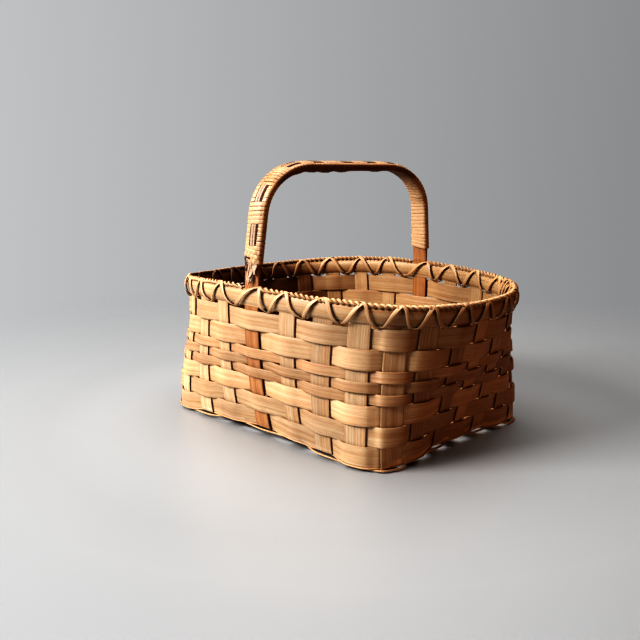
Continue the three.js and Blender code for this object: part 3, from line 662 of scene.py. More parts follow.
def weaver_skin(row, seed):
    """A weaver: straight between stakes and arched over each one, outside or inside it by turns, then
    rounded by a Gaussian average along its length."""
    low, high = ROW_EDGES[row + 1] - ROW_OVERLAP, ROW_EDGES[row] + ROW_OVERLAP
    thickness = size_of("splint_thickness")
    random = np.random.default_rng(seed)
    lines = []
    for stake in range(STAKES):
        face = 1 if weaver_outside(stake, row) else -1
        gap, share, margin = WEAVER_FACES[face]
        seat = (STAKE_THICKNESS[stake] + thickness) / 2 + gap
        arch = size_of("weaver_bulge") * share
        slip = random.normal(0, EDGE_SLIP, 2)
        raised = SLOT_RAISE[stake // SIDE_STAKES] if row == 0 else 0.0
        centre, tangent, normal = wall(STAKE_PLACE[stake], from_to(low + slip[0], high + slip[1] + raised))
        for reach, swell in OVER_STAKE:
            side = reach * (STAKE_WIDTH[stake] / 2 + margin)
            lines.append(centre + tangent * side + normal * face * (seat + arch * swell))
        if ends_side(stake):
            lines.append(wall(corner_after(stake), from_to(low, high))[0])
    control = np.array(lines)
    places = even_places(control[:, len(ACROSS) // 2], STRIP_STEP, True)
    sheet = rounded(control, places, WEAVER_ROUNDING / STRIP_STEP, True)
    sheet[..., 2] += drift(seed + 1, len(sheet), WEAVER_RISE, True)[:, None]
    return strip_skin(sheet, thickness / 2, thickness / 2, SPLINT_SECTION, True)


def base_cane_skin(strand, seed):
    """One of two thin canes round the foot of the wall: outside and inside the stakes by turns, the
    two strands opposite to each other."""
    lines = []
    slip = np.random.default_rng(seed).normal(0, EDGE_SLIP, STAKES)
    for stake in range(STAKES):
        face = 1 if (stake + strand) % 2 == 0 else -1
        seat = STAKE_THICKNESS[stake] / 2 + BASE_CANE_RADIUS + BASE_CANE_GAPS[face]
        centre, tangent, normal = wall(STAKE_PLACE[stake], BASE_CANE_HEIGHTS[strand] + slip[stake])
        for reach, swell in ((-1.0, 0.0), (0.0, 0.5), (1.0, 0.0)):
            lines.append(centre + tangent * reach * STAKE_WIDTH[stake] / 2 + normal * face * (seat + swell))
    control = np.array(lines)
    line = rounded(control, even_places(control, STRIP_STEP, True), CANE_ROUNDING / STRIP_STEP, True)
    radius = BASE_CANE_RADIUS + drift(seed + 1, len(line), BASE_CANE_GIRTH, True)
    return round_skin(line, radius, True, BASE_CANE_SQUASH)


class BASKET_OT_weavers(bpy.types.Operator):
    """Weave the eight hoops round the stakes"""
    bl_idname = "basket.weavers"
    bl_label = "Weavers"

    def execute(self, context):
        wide, narrow = wood_material("Wide weaver"), wood_material("Narrow weaver")
        random = np.random.default_rng(11)
        for row in range(len(ROWS)):
            look = (narrow, "narrow_weaver") if row in NARROW_ROWS else (wide, "wide_weaver")
            add_piece(f"woven_weaver_{row + 1}", weaver_skin(row, 40 + 3 * row), True, random.random(),
                      *look, f"weaver_{row + 1}")
        for strand in range(2):
            add_piece(f"twined_base_cane_{strand + 1}", base_cane_skin(strand, 91 + 2 * strand), True, 0.8,
                      wide, "narrow_weaver")
        return {"FINISHED"}


# Gap between base splints that cross, and how far past a crossing's edges a splint keeps its height.
BASE_GAP = 0.1
CROSS_MARGIN = 0.3
# A stake leans this far away from each weaver that passes it, from this height above the base on.
STAKE_SWAY = 0.22
SWAY_START = 6
BEND_RADIUS = 3.0
BEND_POINTS = 5
STAKE_TOP = RIM_TOP - 2.5
# Rounding of a splint's line and of its across vectors, in millimetres.
SPLINT_ROUNDING = 1.9
TWIST_ROUNDING = 3
SPLINT_SEEDS = (100, 200)


def base_level(point, thickness, other, above):
    """Height of a base splint's middle at a crossing: the lifted base, plus or minus its half gap."""
    apart = (thickness + STAKE_THICKNESS[other]) / 4 + BASE_GAP
    return BASE_MID + base_lift(*point) + (apart if above else -apart)


def leg_controls(stake, run_level, flip, top):
    """Middle points and across vectors down one stake, from its top to the start of its bend."""
    edges = ROW_EDGES[::-1]
    away = np.where(weaver_outside(stake, np.arange(len(ROWS))[::-1]), -1, 1)
    heights = np.r_[(edges[1:] + edges[:-1]) / 2, RIM_BOTTOM, (RIM_BOTTOM + top) / 2, top]
    outs = np.r_[away * STAKE_SWAY, 0, 0, 0]
    keep = heights > run_level + SWAY_START
    centre, tangent, _ = wall(STAKE_PLACE[stake], heights[keep], outs[keep])
    return centre[::-1], (tangent * flip)[::-1]


def splint_line(first, last, crossed, above_at_start, top):
    """Middle line and across vectors of a splint: down one stake, round the bend, over and under in the
    base, and up the opposite stake."""
    axis = 0 if first < SIDE_STAKES else 1
    across = np.array(((0.0, -1.0, 0.0), (1.0, 0.0, 0.0))[axis])
    run = []
    for k, other in enumerate(crossed):
        point = STAKE_FOOT[first].copy()
        point[axis] = STAKE_FOOT[other, axis]
        level = base_level(point, STAKE_THICKNESS[first], other, above_at_start == (k % 2 == 0))
        half = STAKE_WIDTH[other] / 2 + CROSS_MARGIN
        for step in (-half, half):
            spot = np.append(point, level)
            spot[axis] += step
            run.append(spot)
    ends = []
    for stake, level, flip in ((first, run[0][2], 1), (last, run[-1][2], -1)):
        down, side = leg_controls(stake, level, flip, top)
        foot, tangent, normal = wall(STAKE_PLACE[stake], level)
        bend, bend_side = [], []
        for angle in np.linspace(0, np.pi / 2, BEND_POINTS):
            point = foot - normal * BEND_RADIUS * (1 - np.cos(angle))
            point[2] = level + BEND_RADIUS * (1 - np.sin(angle))
            bend.append(point)
            share = angle / (np.pi / 2)
            bend_side.append(unit(tangent * flip * (1 - share) + across * share))
        ends.append((np.vstack([down, bend]), np.vstack([side, bend_side])))
    (down, down_side), (up, up_side) = ends
    return np.vstack([down, run, up[::-1]]), np.vstack([down_side, [across] * len(run), up_side[::-1]])


def splint_skin(line, sides, width, seed):
    """A flat strip along a smoothed line, whose place and width drift a little."""
    places = even_places(line, STRIP_STEP, False)
    centre = rounded(line, places, SPLINT_ROUNDING / STRIP_STEP, False)
    side = unit(rounded(sides, places, TWIST_ROUNDING / STRIP_STEP, False))
    centre = centre + side * drift(seed, len(centre), SPLINT_SWAY)[:, None]
    half = width / 2 + drift(seed + 1, len(centre), SPLINT_GIRTH)
    depth = size_of("splint_thickness") / 2
    return strip_skin(band(centre, side, half), depth, depth, SPLINT_SECTION, False)


class BASKET_OT_splints(bpy.types.Operator):
    """Lay the base splints and turn them up as stakes"""
    bl_idname = "basket.splints"
    bl_label = "Base splints and stakes"

    def execute(self, context):
        material = wood_material("Stake")
        random = np.random.default_rng(5)
        for side, (kind, crossed) in enumerate((("cross", LONG_FEET), ("long", CROSS_FEET))):
            places = [k for k in range(SIDE_STAKES) if side or k != HANDLE_PLACE]
            for number, k in enumerate(places, 1):
                stake, last = side * SIDE_STAKES + k, (side + 3) * SIDE_STAKES - 1 - k
                line, across = splint_line(stake, last, crossed, (k + side) % 2 == 1, STAKE_TOP)
                skin = splint_skin(line, across, STAKE_WIDTH[stake], SPLINT_SEEDS[side] + 7 * k)
                add_piece(f"woven_{kind}_splint_{number}", skin, False, random.random(), material,
                          "stake_splint", f"{kind}_splint_{number}")
        return {"FINISHED"}


RIM_SEAT = 0.2
RIM_STEP = 1.6
RIM_ROUNDING = 6.0
RIM_BACK = -0.1
# Half the thickness that the rim strips step over at a corner, where there is no stake.
CORNER_HALF = 0.6


def station_line(height, out_of_stake):
    """Control points round the wall at one height: both edges of each stake, and each corner.
    out_of_stake is measured from the face of each stake."""
    points = []
    for stake in range(STAKES):
        out = np.sign(out_of_stake) * STAKE_THICKNESS[stake] / 2 + out_of_stake
        centre, tangent, normal = wall(STAKE_PLACE[stake], height)
        points += [centre + tangent * reach * (STAKE_WIDTH[stake] / 2) + normal * out for reach in (-1, 1)]
        if ends_side(stake):
            centre, _, normal = wall(corner_after(stake), height)
            points.append(centre + normal * (np.sign(out_of_stake) * CORNER_HALF + out_of_stake))
    return np.array(points)


def rim_skin(face, seed):
    """A rim strip: rings at several heights follow the stakes' faces, its back is nearly flat against
    them, and its far side is half round."""
    control = np.stack([station_line(h, face * RIM_SEAT) for h in from_to(RIM_BOTTOM, RIM_TOP)], axis=1)
    places = even_places(control[:, len(ACROSS) // 2], RIM_STEP, True)
    sheet = rounded(control, places, RIM_ROUNDING / RIM_STEP, True)
    sheet[..., 2] += drift(seed, len(sheet), RIM_RISE, True)[:, None]
    depth = size_of("rim_thickness") + drift(seed + 5, len(sheet), RIM_DEPTH, True)
    return strip_skin(sheet[:, ::face], depth, RIM_BACK, RIM_SECTION, True)


class BASKET_OT_rims(bpy.types.Operator):
    """Clamp the tops of the stakes between two rounded strips"""
    bl_idname = "basket.rims"
    bl_label = "Rim strips"

    def execute(self, context):
        material = wood_material("Rim strip")
        for node, face, seed, tint in (("outer_rim", 1, 301, 0.55), ("inner_rim", -1, 302, 0.4)):
            add_piece(f"bent_{node}", rim_skin(face, seed), True, tint, material, "rim_strip", node)
        return {"FINISHED"}


LASHING_THICKNESS = 0.95
LASHING_STEP = 0.9
# Shares of half the thickness in front of and behind a strand's middle.
LASHING_FRONT, LASHING_BACK = 1.15, 0.8
# Rounding of the lashing, of a corner turn and of the way that their skins face, in samples.
LASHING_ROUNDING, CORNER_ROUNDING, FACING_ROUNDING = 1.3, 1.6, 1.6
# Half a turn of lashing from a hole under the rim to its crest above a stake: height above the rim's
# bottom, distance out from the wall, and the outward and upward parts of the way that its skin faces.
HALF_TURN = np.array([
    (-1.5, 0.5, 0.2, -1.0),
    (-1.1, 2.3, 0.6, -0.8),
    (1.0, 4.1, 1.0, -0.5),
    (4.6, 4.9, 1.0, -0.1),
    (8.6, 4.9, 1.0, 0.15),
    (12.4, 4.2, 0.9, 0.5),
    (15.2, 3.0, 0.8, 0.8),
    (17.2, 1.5, 0.4, 1.0),
    (17.9, 0.0, 0.0, 1.0),
])
# A full turn: the half turn and its mirror image down the inside.
FULL_TURN = [np.r_[column, sign * column[-2::-1]] for column, sign in zip(HALF_TURN.T, (1, -1, -1, 1))]
# Steps from each sample of a full turn to its crest. Turns slip up and down past the nearest of these.
FROM_CREST = np.abs(np.arange(len(FULL_TURN[0])) - len(HALF_TURN) + 1)
SLIP_STEPS = 7
# Share of the way along the rim at each row, for a strand that leans most near the top and for one
# that leans mostly near its hole.
HIGH_LEAN = np.array([0.0, 0.03, 0.08, 0.19, 0.31, 0.45, 0.62, 0.82, 1.0])
LOW_LEAN = np.array([0.0, 0.14, 0.34, 0.55, 0.67, 0.75, 0.81, 0.89, 1.0])
# How much of the low lean the first and the second pass have on the way up, and at most on the way down.
PASS_LEAN = {1: 0.15, -1: 0.85}
DOWN_LEAN = 0.6
# Standard sizes of the scatter of the tops along the ring, of the lean, and of the slip in millimetres.
TOP_SPREAD, LEAN_SPREAD, SLIP_SPREAD = 0.01, 0.2, 0.3
# The second pass is lifted by a share that starts above 1 at the crest and falls over these samples.
CREST_LIFT, CREST_FALL = 1.25, 2.5
# At a handle leg both passes go over the rim beside it, on the -Y side, and stand out further.
LEG_SHIFT = 0.085
LEG_PUSH = 0.6
# Ring length of the two strands' gap in a hole, at least and at most.
HOLE_GAP = (0.004, 0.022)
# More turns bunched at two corners: ring place and slant of each. They are narrower and lie higher.
CORNER_TURNS = ((3.925, 0.03), (3.955, -0.02), (3.99, 0.035), (4.035, -0.03), (-0.035, 0.025), (0.03, -0.03))
CORNER_WIDTH = 0.8
CORNER_LIFT = 1.5


def hole_places():
    """Ring places of the lashing's holes: midway between stakes, or at the corners."""
    following = np.r_[STAKE_PLACE[1:], STAKE_PLACE[0] + 2 * SIDES]
    stakes = np.arange(STAKES)
    return np.where(ends_side(stakes), corner_after(stakes), (STAKE_PLACE + following) / 2)


def cane_turns(place, lift, slip, push, rounding, width, girth, seed):
    """A closed strip of cane in full turns round the rim, at the ring places of its samples: each one is
    lifted the way that its skin faces, slipped up, and pushed away from the wall."""
    height, out, n_out, n_up = FULL_TURN
    reach = np.hypot(n_out, n_up)
    height = RIM_BOTTOM + height + lift * n_up / reach + slip + 0 * place
    out = out + lift * n_out / reach + np.sign(out) * push + 0 * place
    flat, around = wall_flat(place, np.minimum(height, RIM_TOP))
    normal = np.stack([around[..., 1], -around[..., 0]], -1)
    points = np.concatenate([flat + normal * out[..., None], height[..., None]], -1).reshape(-1, 3)
    outs = np.concatenate([normal * n_out[:, None], (n_up + 0 * place)[..., None]], -1).reshape(-1, 3)
    places = even_places(points, LASHING_STEP, True)
    line = rounded(points, places, rounding, True)
    facing = rounded(unit(outs), places, FACING_ROUNDING, True)
    wide = width * size_of("lashing_width") + drift(seed, len(line), girth, True)
    half = LASHING_THICKNESS / 2
    return path_strip(line, facing, wide, half * LASHING_FRONT, half * LASHING_BACK, LASHING_SECTION, True)


def lashing_skin(direction, seed):
    """One pass of the lashing: up the outside from a hole, over the top above a stake, and down the
    inside to the next hole. The second pass goes the other way and lies over the first where they
    cross, above each stake and in each hole."""
    random = np.random.default_rng(seed)
    after = hole_places()
    before = np.roll(after, 1)
    before[0] -= 2 * SIDES
    legs = np.isin(np.arange(STAKES), (NEAR_LEG, FAR_LEG))
    tops = STAKE_PLACE + random.normal(0, TOP_SPREAD, STAKES)
    tops[NEAR_LEG] = STAKE_PLACE[NEAR_LEG] + LEG_SHIFT
    tops[FAR_LEG] = STAKE_PLACE[FAR_LEG] - LEG_SHIFT
    order = np.arange(STAKES)[::direction]
    start, finish = (before, after)[::direction]
    start = start + random.uniform(*HOLE_GAP, STAKES) * direction
    finish = finish - random.uniform(*HOLE_GAP, STAKES) * direction
    rising = np.clip(random.normal(PASS_LEAN[direction], LEAN_SPREAD, STAKES), 0, 1)
    falling = random.uniform(0, DOWN_LEAN, STAKES)
    first_half, second_half = [
        HIGH_LEAN * (1 - blend) + LOW_LEAN * blend for blend in (rising[:, None], falling[:, None])]
    up = start[:, None] + (tops - start)[:, None] * first_half
    down = tops[:, None] + (finish - tops)[:, None] * (1 - second_half[:, -2::-1])
    place = np.concatenate([up, down], axis=1)[order]
    crossing = np.clip(CREST_LIFT - FROM_CREST / CREST_FALL, 0, 1)
    crossing = np.maximum(crossing, FROM_CREST == FROM_CREST.max())
    lift = crossing * (direction < 0) * LASHING_THICKNESS
    slip = random.normal(0, SLIP_SPREAD, (STAKES, 1)) * (FROM_CREST < SLIP_STEPS)
    push = LEG_PUSH * legs[order][:, None]
    return cane_turns(place, lift, slip, push, LASHING_ROUNDING, 1.0, LASHING_GIRTH, seed + 3)


def corner_turn_skin(place, slant, seed):
    """One closed turn of cane round both rim strips and the filler, outside the two passes."""
    ring = place + slant * np.sin(np.linspace(-np.pi, np.pi, len(FROM_CREST)))
    lift = CORNER_LIFT * LASHING_THICKNESS
    return cane_turns(ring, lift, 0, 0, CORNER_ROUNDING, CORNER_WIDTH, CORNER_GIRTH, seed)


class BASKET_OT_lashing(bpy.types.Operator):
    """Bind the rim with two crossing passes of cane"""
    bl_idname = "basket.lashing"
    bl_label = "Rim lashing"

    def execute(self, context):
        material = wood_material("Rim cane")
        for direction, node, seed in ((1, "rim_lashing_first", 401), (-1, "rim_lashing_return", 402)):
            add_piece(f"cane_{node}", lashing_skin(direction, seed), True, 0.5 + 0.1 * direction, material,
                      "rim_cane", node)
        for number, turn in enumerate(CORNER_TURNS, 1):
            skin = corner_turn_skin(*turn, 410 + number)
            add_piece(f"cane_corner_turn_{number}", skin, True, 0.15 * number, material, "rim_cane")
        return {"FINISHED"}


# The filler lies on the rim strips, sinks over each stake, and is two plies twisted together.
FILLER_STEP = 0.7
FILLER_SAMPLES = 900
FILLER_SEAT = 1.1
FILLER_DENT = 1.0
DENT_RING = 0.028
FILLER_PITCH = 10.5
PLY_RADIUS = 1.35
# How far the plies stand apart, in radii, across and up.
PLY_OUT, PLY_UP = 1.2, 0.95


def filler_strands(first, last, seed):
    """Two strands that wind round each other between the handle's legs, above the rim strips."""
    begin = STAKE_PLACE[first] + LEG_SHIFT
    finish = STAKE_PLACE[last] - LEG_SHIFT + (2 * SIDES if last < first else 0)
    ring = np.linspace(begin, finish, FILLER_SAMPLES)
    spine, _, normal = wall(ring, RIM_TOP)
    from_stake = np.abs((ring[:, None] - STAKE_PLACE + SIDES) % (2 * SIDES) - SIDES).min(axis=1)
    spine[:, 2] = RIM_TOP + FILLER_SEAT - FILLER_DENT * np.exp(-(from_stake / DENT_RING) ** 2)
    places = even_places(spine, FILLER_STEP, False)
    spine = at_places(spine, places, False)
    normal = unit(at_places(normal, places, False))
    count = len(spine)
    turn = -2 * np.pi * FILLER_STEP * np.arange(count) / FILLER_PITCH + drift(seed, count, FILLER_TWIST)
    radius = PLY_RADIUS + drift(seed + 5, count, FILLER_GIRTH)
    strands = []
    for phase in (0, np.pi):
        out = PLY_OUT * PLY_RADIUS * np.cos(turn + phase)[:, None] * normal
        up = (PLY_UP * np.sin(turn + phase) + drift(seed + 9, count, FILLER_RISE))[:, None] * PLY_RADIUS * UP
        strands.append(round_skin(spine + out + up, radius, False))
    return strands


class BASKET_OT_filler(bpy.types.Operator):
    """Lay the twisted cord that covers the stakes' ends"""
    bl_idname = "basket.filler"
    bl_label = "Rim filler cord"

    def execute(self, context):
        material = wood_material("Filler cord")
        for name, first, last, seed in (("front", NEAR_LEG, FAR_LEG, 501), ("back", FAR_LEG, NEAR_LEG, 502)):
            for ply, skin in enumerate(filler_strands(first, last, seed)):
                nodes = [] if ply else [f"rim_filler_{name}"]
                add_piece(f"filler_{name}_ply_{ply + 1}", skin, False, 0.4 + 0.3 * ply, material,
                          "filler_cord", *nodes)
        return {"FINISHED"}


# The arch at its +X and its -X end: height of the top, reach of the corner along and down, lean of the leg.
HANDLE_TOP = (248.2, 250.1)
HANDLE_CORNER_X = (66.5, 54.4)
HANDLE_CORNER_Z = (46.5, 43.5)
HANDLE_LEAN = (5.7, 7.1)
# Shares of the lean and of the leg's height at a point on the leg.
LEG_POINT = (0.3, 0.4)
ARCH_STEP = 1.0
ARCH_ROUNDING = 6.0
# How far the top stands over towards +Y, and how many degrees the strap is turned there.
TOP_SHIFT = -2.2
TOP_ROLL = -5.3


def arch_line():
    """Middle line of the handle above the rim, from the +X leg to the -X leg: leaning legs, quarter
    ellipses at the corners and a straight top, rounded by a Gaussian average. With it go the unit
    vectors across the strap, towards -Y, and out of its outer face, turned about the line by a share
    of the top's roll that grows with height."""
    angle = np.linspace(0, np.pi / 2, 24)
    points = []
    for end, leg, sign in ((0, FAR_LEG, 1), (1, NEAR_LEG, -1)):
        foot = wall(STAKE_PLACE[leg], RIM_TOP)[0]
        elbow = HANDLE_TOP[end] - HANDLE_CORNER_Z[end]
        x = foot[0] - sign * (HANDLE_LEAN[end] + HANDLE_CORNER_X[end] * (1 - np.cos(angle)))
        z = elbow + HANDLE_CORNER_Z[end] * np.sin(angle)
        lean, climb = LEG_POINT
        mid = (foot[0] - sign * lean * HANDLE_LEAN[end], 0, foot[2] + climb * (elbow - foot[2]))
        points.append(np.vstack([foot, mid, np.stack([x, 0 * x, z], -1)]))
    line = np.vstack([points[0], points[1][::-1]])
    line[:, 1] = 0
    line = rounded(line, even_places(line, ARCH_STEP, False), ARCH_ROUNDING, False)
    towards = np.array([0.0, -1.0, 0.0]) + 0 * line
    out = unit(np.cross(towards, np.gradient(line, axis=0)))
    out *= np.sign(out[len(out) // 2, 2])
    rise = np.clip((line[:, 2:] - RIM_TOP) / (HANDLE_TOP[0] - RIM_TOP), 0, 1)
    turn = np.radians(TOP_ROLL) * rise
    line[:, 1:2] += TOP_SHIFT * rise
    return line, towards * np.cos(turn) + out * np.sin(turn), out * np.cos(turn) - towards * np.sin(turn)


ARCH, ARCH_ACROSS, ARCH_OUT = arch_line()
ARCH_LENGTH = np.r_[0, np.cumsum(np.linalg.norm(np.diff(ARCH, axis=0), axis=1))]


def arch_at(distance, across, out):
    """Points beside the handle's middle line, across it towards -Y and out from it, with the unit
    vectors across and out."""
    point, side, facing = [
        np.stack([np.interp(distance, ARCH_LENGTH, table[:, k]) for k in range(3)], -1)
        for table in (ARCH, ARCH_ACROSS, ARCH_OUT)]
    side, facing = unit(side), unit(facing)
    return point + facing * np.asarray(out)[..., None] + side * np.asarray(across)[..., None], side, facing


# The strap reaches its full thickness between these distances above the rim.
STRAP_FULL = (4, 16)
# Samples of the arch that are left out at each leg, where the woven part takes over.
ARCH_JOIN = slice(3, -3)
# Rounding of the hoop's line, of its across vectors and of its thickness, in samples.
HOOP_ROUNDING, HOOP_TWIST_ROUNDING, HOOP_DEPTH_ROUNDING = 1.6, 2.5, 3.0


def hoop_skin():
    """The handle's strap as one hoop: the arch, both legs and the run under the base. It is thin
    where it is woven in and full above the rim."""
    line, side = splint_line(NEAR_LEG, FAR_LEG, LONG_FEET, True, RIM_TOP)
    places = even_places(line, STRIP_STEP, False)
    low, low_side = at_places(line, places, False), at_places(side, places, False)
    from_rim = np.minimum(ARCH_LENGTH, ARCH_LENGTH[-1] - ARCH_LENGTH)[ARCH_JOIN]
    full = np.interp(from_rim, STRAP_FULL, (LEG_THICKNESS, HANDLE_THICKNESS))
    centre = smooth(np.vstack([low, ARCH[ARCH_JOIN]]), HOOP_ROUNDING, True)
    across = unit(smooth(np.vstack([low_side, ARCH_ACROSS[ARCH_JOIN]]), HOOP_TWIST_ROUNDING, True))
    thick = np.r_[np.full(len(low), LEG_THICKNESS), full][:, None]
    thick = smooth(thick, HOOP_DEPTH_ROUNDING, True)[:, 0]
    half = HANDLE_WIDTH / 2 + drift(601, len(centre), HOOP_GIRTH, True)
    return strip_skin(band(centre, across, half), thick / 2, thick / 2, HOOP_SECTION, True)


def section_round(width, thickness, power, share):
    """Superellipse |a/w|^p + |b/t|^p = 1 at shares of its length: positions and outward normal."""
    angle = np.linspace(0, 2 * np.pi, 721)
    cos, sin = np.cos(angle), np.sin(angle)
    reach = (np.abs(cos / width) ** power + np.abs(sin / thickness) ** power) ** (-1 / power)
    a, b = reach * cos, reach * sin
    gone = np.r_[0, np.cumsum(np.hypot(np.diff(a), np.diff(b)))]
    wanted = np.mod(share, 1) * gone[-1]
    across, out = np.interp(wanted, gone, a), np.interp(wanted, gone, b)
    pairs = ((across, width), (out, thickness))
    slope_a, slope_b = [np.abs(c / half) ** (power - 1) * np.sign(c) / half for c, half in pairs]
    steep = np.hypot(slope_a, slope_b)
    return across, out, slope_a / steep, slope_b / steep


CANE_THICKNESS = 1.1
OVERLAY_THICKNESS = 0.9
# Shares of the cane's thickness in front of and behind its middle, and of the pitch that it covers.
CANE_FRONT, CANE_BACK = 0.6, 0.4
CANE_COVER = 0.99
# Heights at which the wrapping ends on the +X and the -X leg.
WRAP_FOOT = (158.5, 167.0)
# The helix: gap to the strap, exponent of its section, samples to a turn, and where a turn starts.
WRAP_GAP = 0.15
WRAP_SQUARENESS = 5.0
TURN_SAMPLES = 44
TURN_START = 0.25
# Stretches where the flat strip lies over the turns, as distances along the arch from its -X foot.
OVERLAY_OVER = np.array([
    (38, 58.4), (76.4, 94.2), (117.6, 136), (148.8, 164.7), (189.4, 206.8), (226, 241.1),
    (257, 271), (287, 304), (320, 338), (353, 370)])
OVERLAY_ACROSS = 0.3
# How far inside the wrapping's ends the strip begins and stops, its samples and their rounding.
OVERLAY_INSET = (6, 2)
OVERLAY_SAMPLES = 1400
OVERLAY_ROUNDING = 1.6
# Gaps below the strip: to the strap, and to the turns, whose skin reaches this share of their cane.
OVERLAY_LOW, OVERLAY_HIGH, OVER_CANE = 0.1, 0.25, 1.1
# Where in a turn the nicks begin, in radians, and how far they lower the strip where it lies on top.
NICK_START, NICK_SINK = 0.6, 0.5
# The dark sliver of painted shade beside the strip makes a turn's hump over it wider, and the hump's sides
# slope over this length.
HUMP_EXTRA = 1.2
HUMP_SLOPE = 2.2
# A dark sliver beside the strip, painted shade in the channel there: its place across and its width.
SLIVER_ACROSS = 4.5
SLIVER_WIDTH = 2.4
# Fine dark lines along the strip, painted shade in a gap at its left edge and in a crack: name, place across,
# width and nicks, which lift the line below 0.
OVERLAY_LINES = (("cane_overlay_left_line", -3.1, 0.6, 0.0), ("cane_overlay_crack", 0.6, 0.55, -0.14))
# A crossed turn's lump on the +X leg's inner face: distance along the arch from its +X foot, place
# across, length, breadth and height.
LUMP_PLACE, LUMP_ACROSS, LUMP_LENGTH, LUMP_BREADTH, LUMP_HEIGHT = 75.5, 4.0, 3.0, 5.0, 1.3
# Lumps under the arch, where the cane was pieced: distance along it from its -X foot, and height.
UNDER_LUMPS = np.array([(128.0, 0.8), (148.0, 1.1), (166.0, 1.6), (188.0, 1.2), (238.0, 0.9)])
UNDER_LENGTH = 6.0
# Slopes of the turns at the +X and the -X end, over this many turns.
FOOT_SLOPE, NEAR_FOOT_SLOPE = -0.2, 0.26
FOOT_TURNS = 5
# The last turns at the -X end also stand up in knots, this far apart across the strap and moved on by
# a share of that from turn to turn. They are full at the end and gone after some turns.
KNOT_HEIGHT = 0.9
KNOT_PITCH = 5.2
KNOT_SHIFT = 0.37
KNOT_FULL, KNOT_FALL = 1.6, 2
# How far the turns stand out, as a rule and at most.
WRAP_SWELL = (0.1, 0.6)


def height_distance(height, near):
    """Distance along the arch at which a leg reaches a height."""
    z = ARCH[:, 2][::-1] if near else ARCH[:, 2]
    index = np.argmax(z >= height)
    return ARCH_LENGTH[len(z) - 1 - index] if near else ARCH_LENGTH[index]


def strip_on_top(distance):
    """1 where the flat strip lies over the turns and 0 where it runs beneath them, with quick ramps."""
    from_near = ARCH_LENGTH[-1] - distance[..., None]
    inside = (OVERLAY_OVER[:, 1] - OVERLAY_OVER[:, 0]) / 2 - np.abs(from_near - OVERLAY_OVER.mean(axis=1))
    return np.clip(0.5 + inside.max(axis=-1) / 2, 0, 1)


def wrap_ends():
    return height_distance(WRAP_FOOT[0], False), height_distance(WRAP_FOOT[1], True)


def bell(values, middle, breadth):
    """Bell curve exp(-((x - middle) / breadth)^2)."""
    return np.exp(-((values - middle) / breadth) ** 2)


def wrap_skin():
    """Cane wound round the handle: a helix on a rounded rectangle, packed unevenly, which stands out
    over the flat strip where the strip runs beneath. Bell curves add its lumps on the inner face, its
    turns slope near both ends, and the positive halves of a sine add knots at the -X end."""
    start, end = wrap_ends()
    pitch = size_of("wrap_pitch")
    turns = (end - start) / pitch
    count = int(turns * TURN_SAMPLES)
    turn = np.linspace(0, turns, count)
    gone = start + pitch * turn
    from_near = ARCH_LENGTH[-1] - start - pitch * turn
    half_width, half_depth = [
        full / 2 + WRAP_GAP + CANE_THICKNESS / 2 for full in (HANDLE_WIDTH, HANDLE_THICKNESS)]
    across, out, n_across, n_out = section_round(half_width, half_depth, WRAP_SQUARENESS, turn + TURN_START)
    beneath = 1 - strip_on_top(start + pitch * np.round(turn))
    hump = size_of("overlay_width") / 2 + HUMP_EXTRA + HUMP_SLOPE
    over = np.clip((hump - np.abs(across - OVERLAY_ACROSS - HUMP_EXTRA)) / HUMP_SLOPE, 0, 1)
    over = over * over * (3 - 2 * over)
    out = out + (out > 0) * over * beneath * OVERLAY_THICKNESS
    swell = WRAP_SWELL[0] + drift(703, count, WRAP_OUT[0]) + drift(704, count, WRAP_OUT[1])
    out = out + np.clip(swell, 0, WRAP_SWELL[1]) * n_out
    lump = LUMP_HEIGHT * bell(gone, LUMP_PLACE, LUMP_LENGTH) * bell(across, LUMP_ACROSS, LUMP_BREADTH)
    sag = (UNDER_LUMPS[:, 1:] * bell(from_near, UNDER_LUMPS[:, :1], UNDER_LENGTH)).sum(axis=0)
    out = out - (lump + sag) * (out < 0)
    to_end = turns - turn
    slope = (FOOT_SLOPE * np.clip(1 - turn / FOOT_TURNS, 0, 1)
             + NEAR_FOOT_SLOPE * np.clip(1 - to_end / FOOT_TURNS, 0, 1)) * across
    knots = np.sin(2 * np.pi * (across / KNOT_PITCH + KNOT_SHIFT * np.round(turn)))
    knots = np.clip(knots, 0, 1) * (out > 0)
    out = out + KNOT_HEIGHT * knots * np.clip(KNOT_FULL - to_end / KNOT_FALL, 0, 1)
    distance = gone + slope + drift(701, count, WRAP_ALONG[0]) + drift(705, count, WRAP_ALONG[1])
    points, side, facing = arch_at(distance, across, out)
    outs = facing * n_out[:, None] + side * n_across[:, None]
    wide = pitch * CANE_COVER + drift(702, count, WRAP_GIRTH)
    front, back = CANE_THICKNESS * CANE_FRONT, CANE_THICKNESS * CANE_BACK
    return path_strip(points, outs, wide, front, back, WRAP_SECTION)


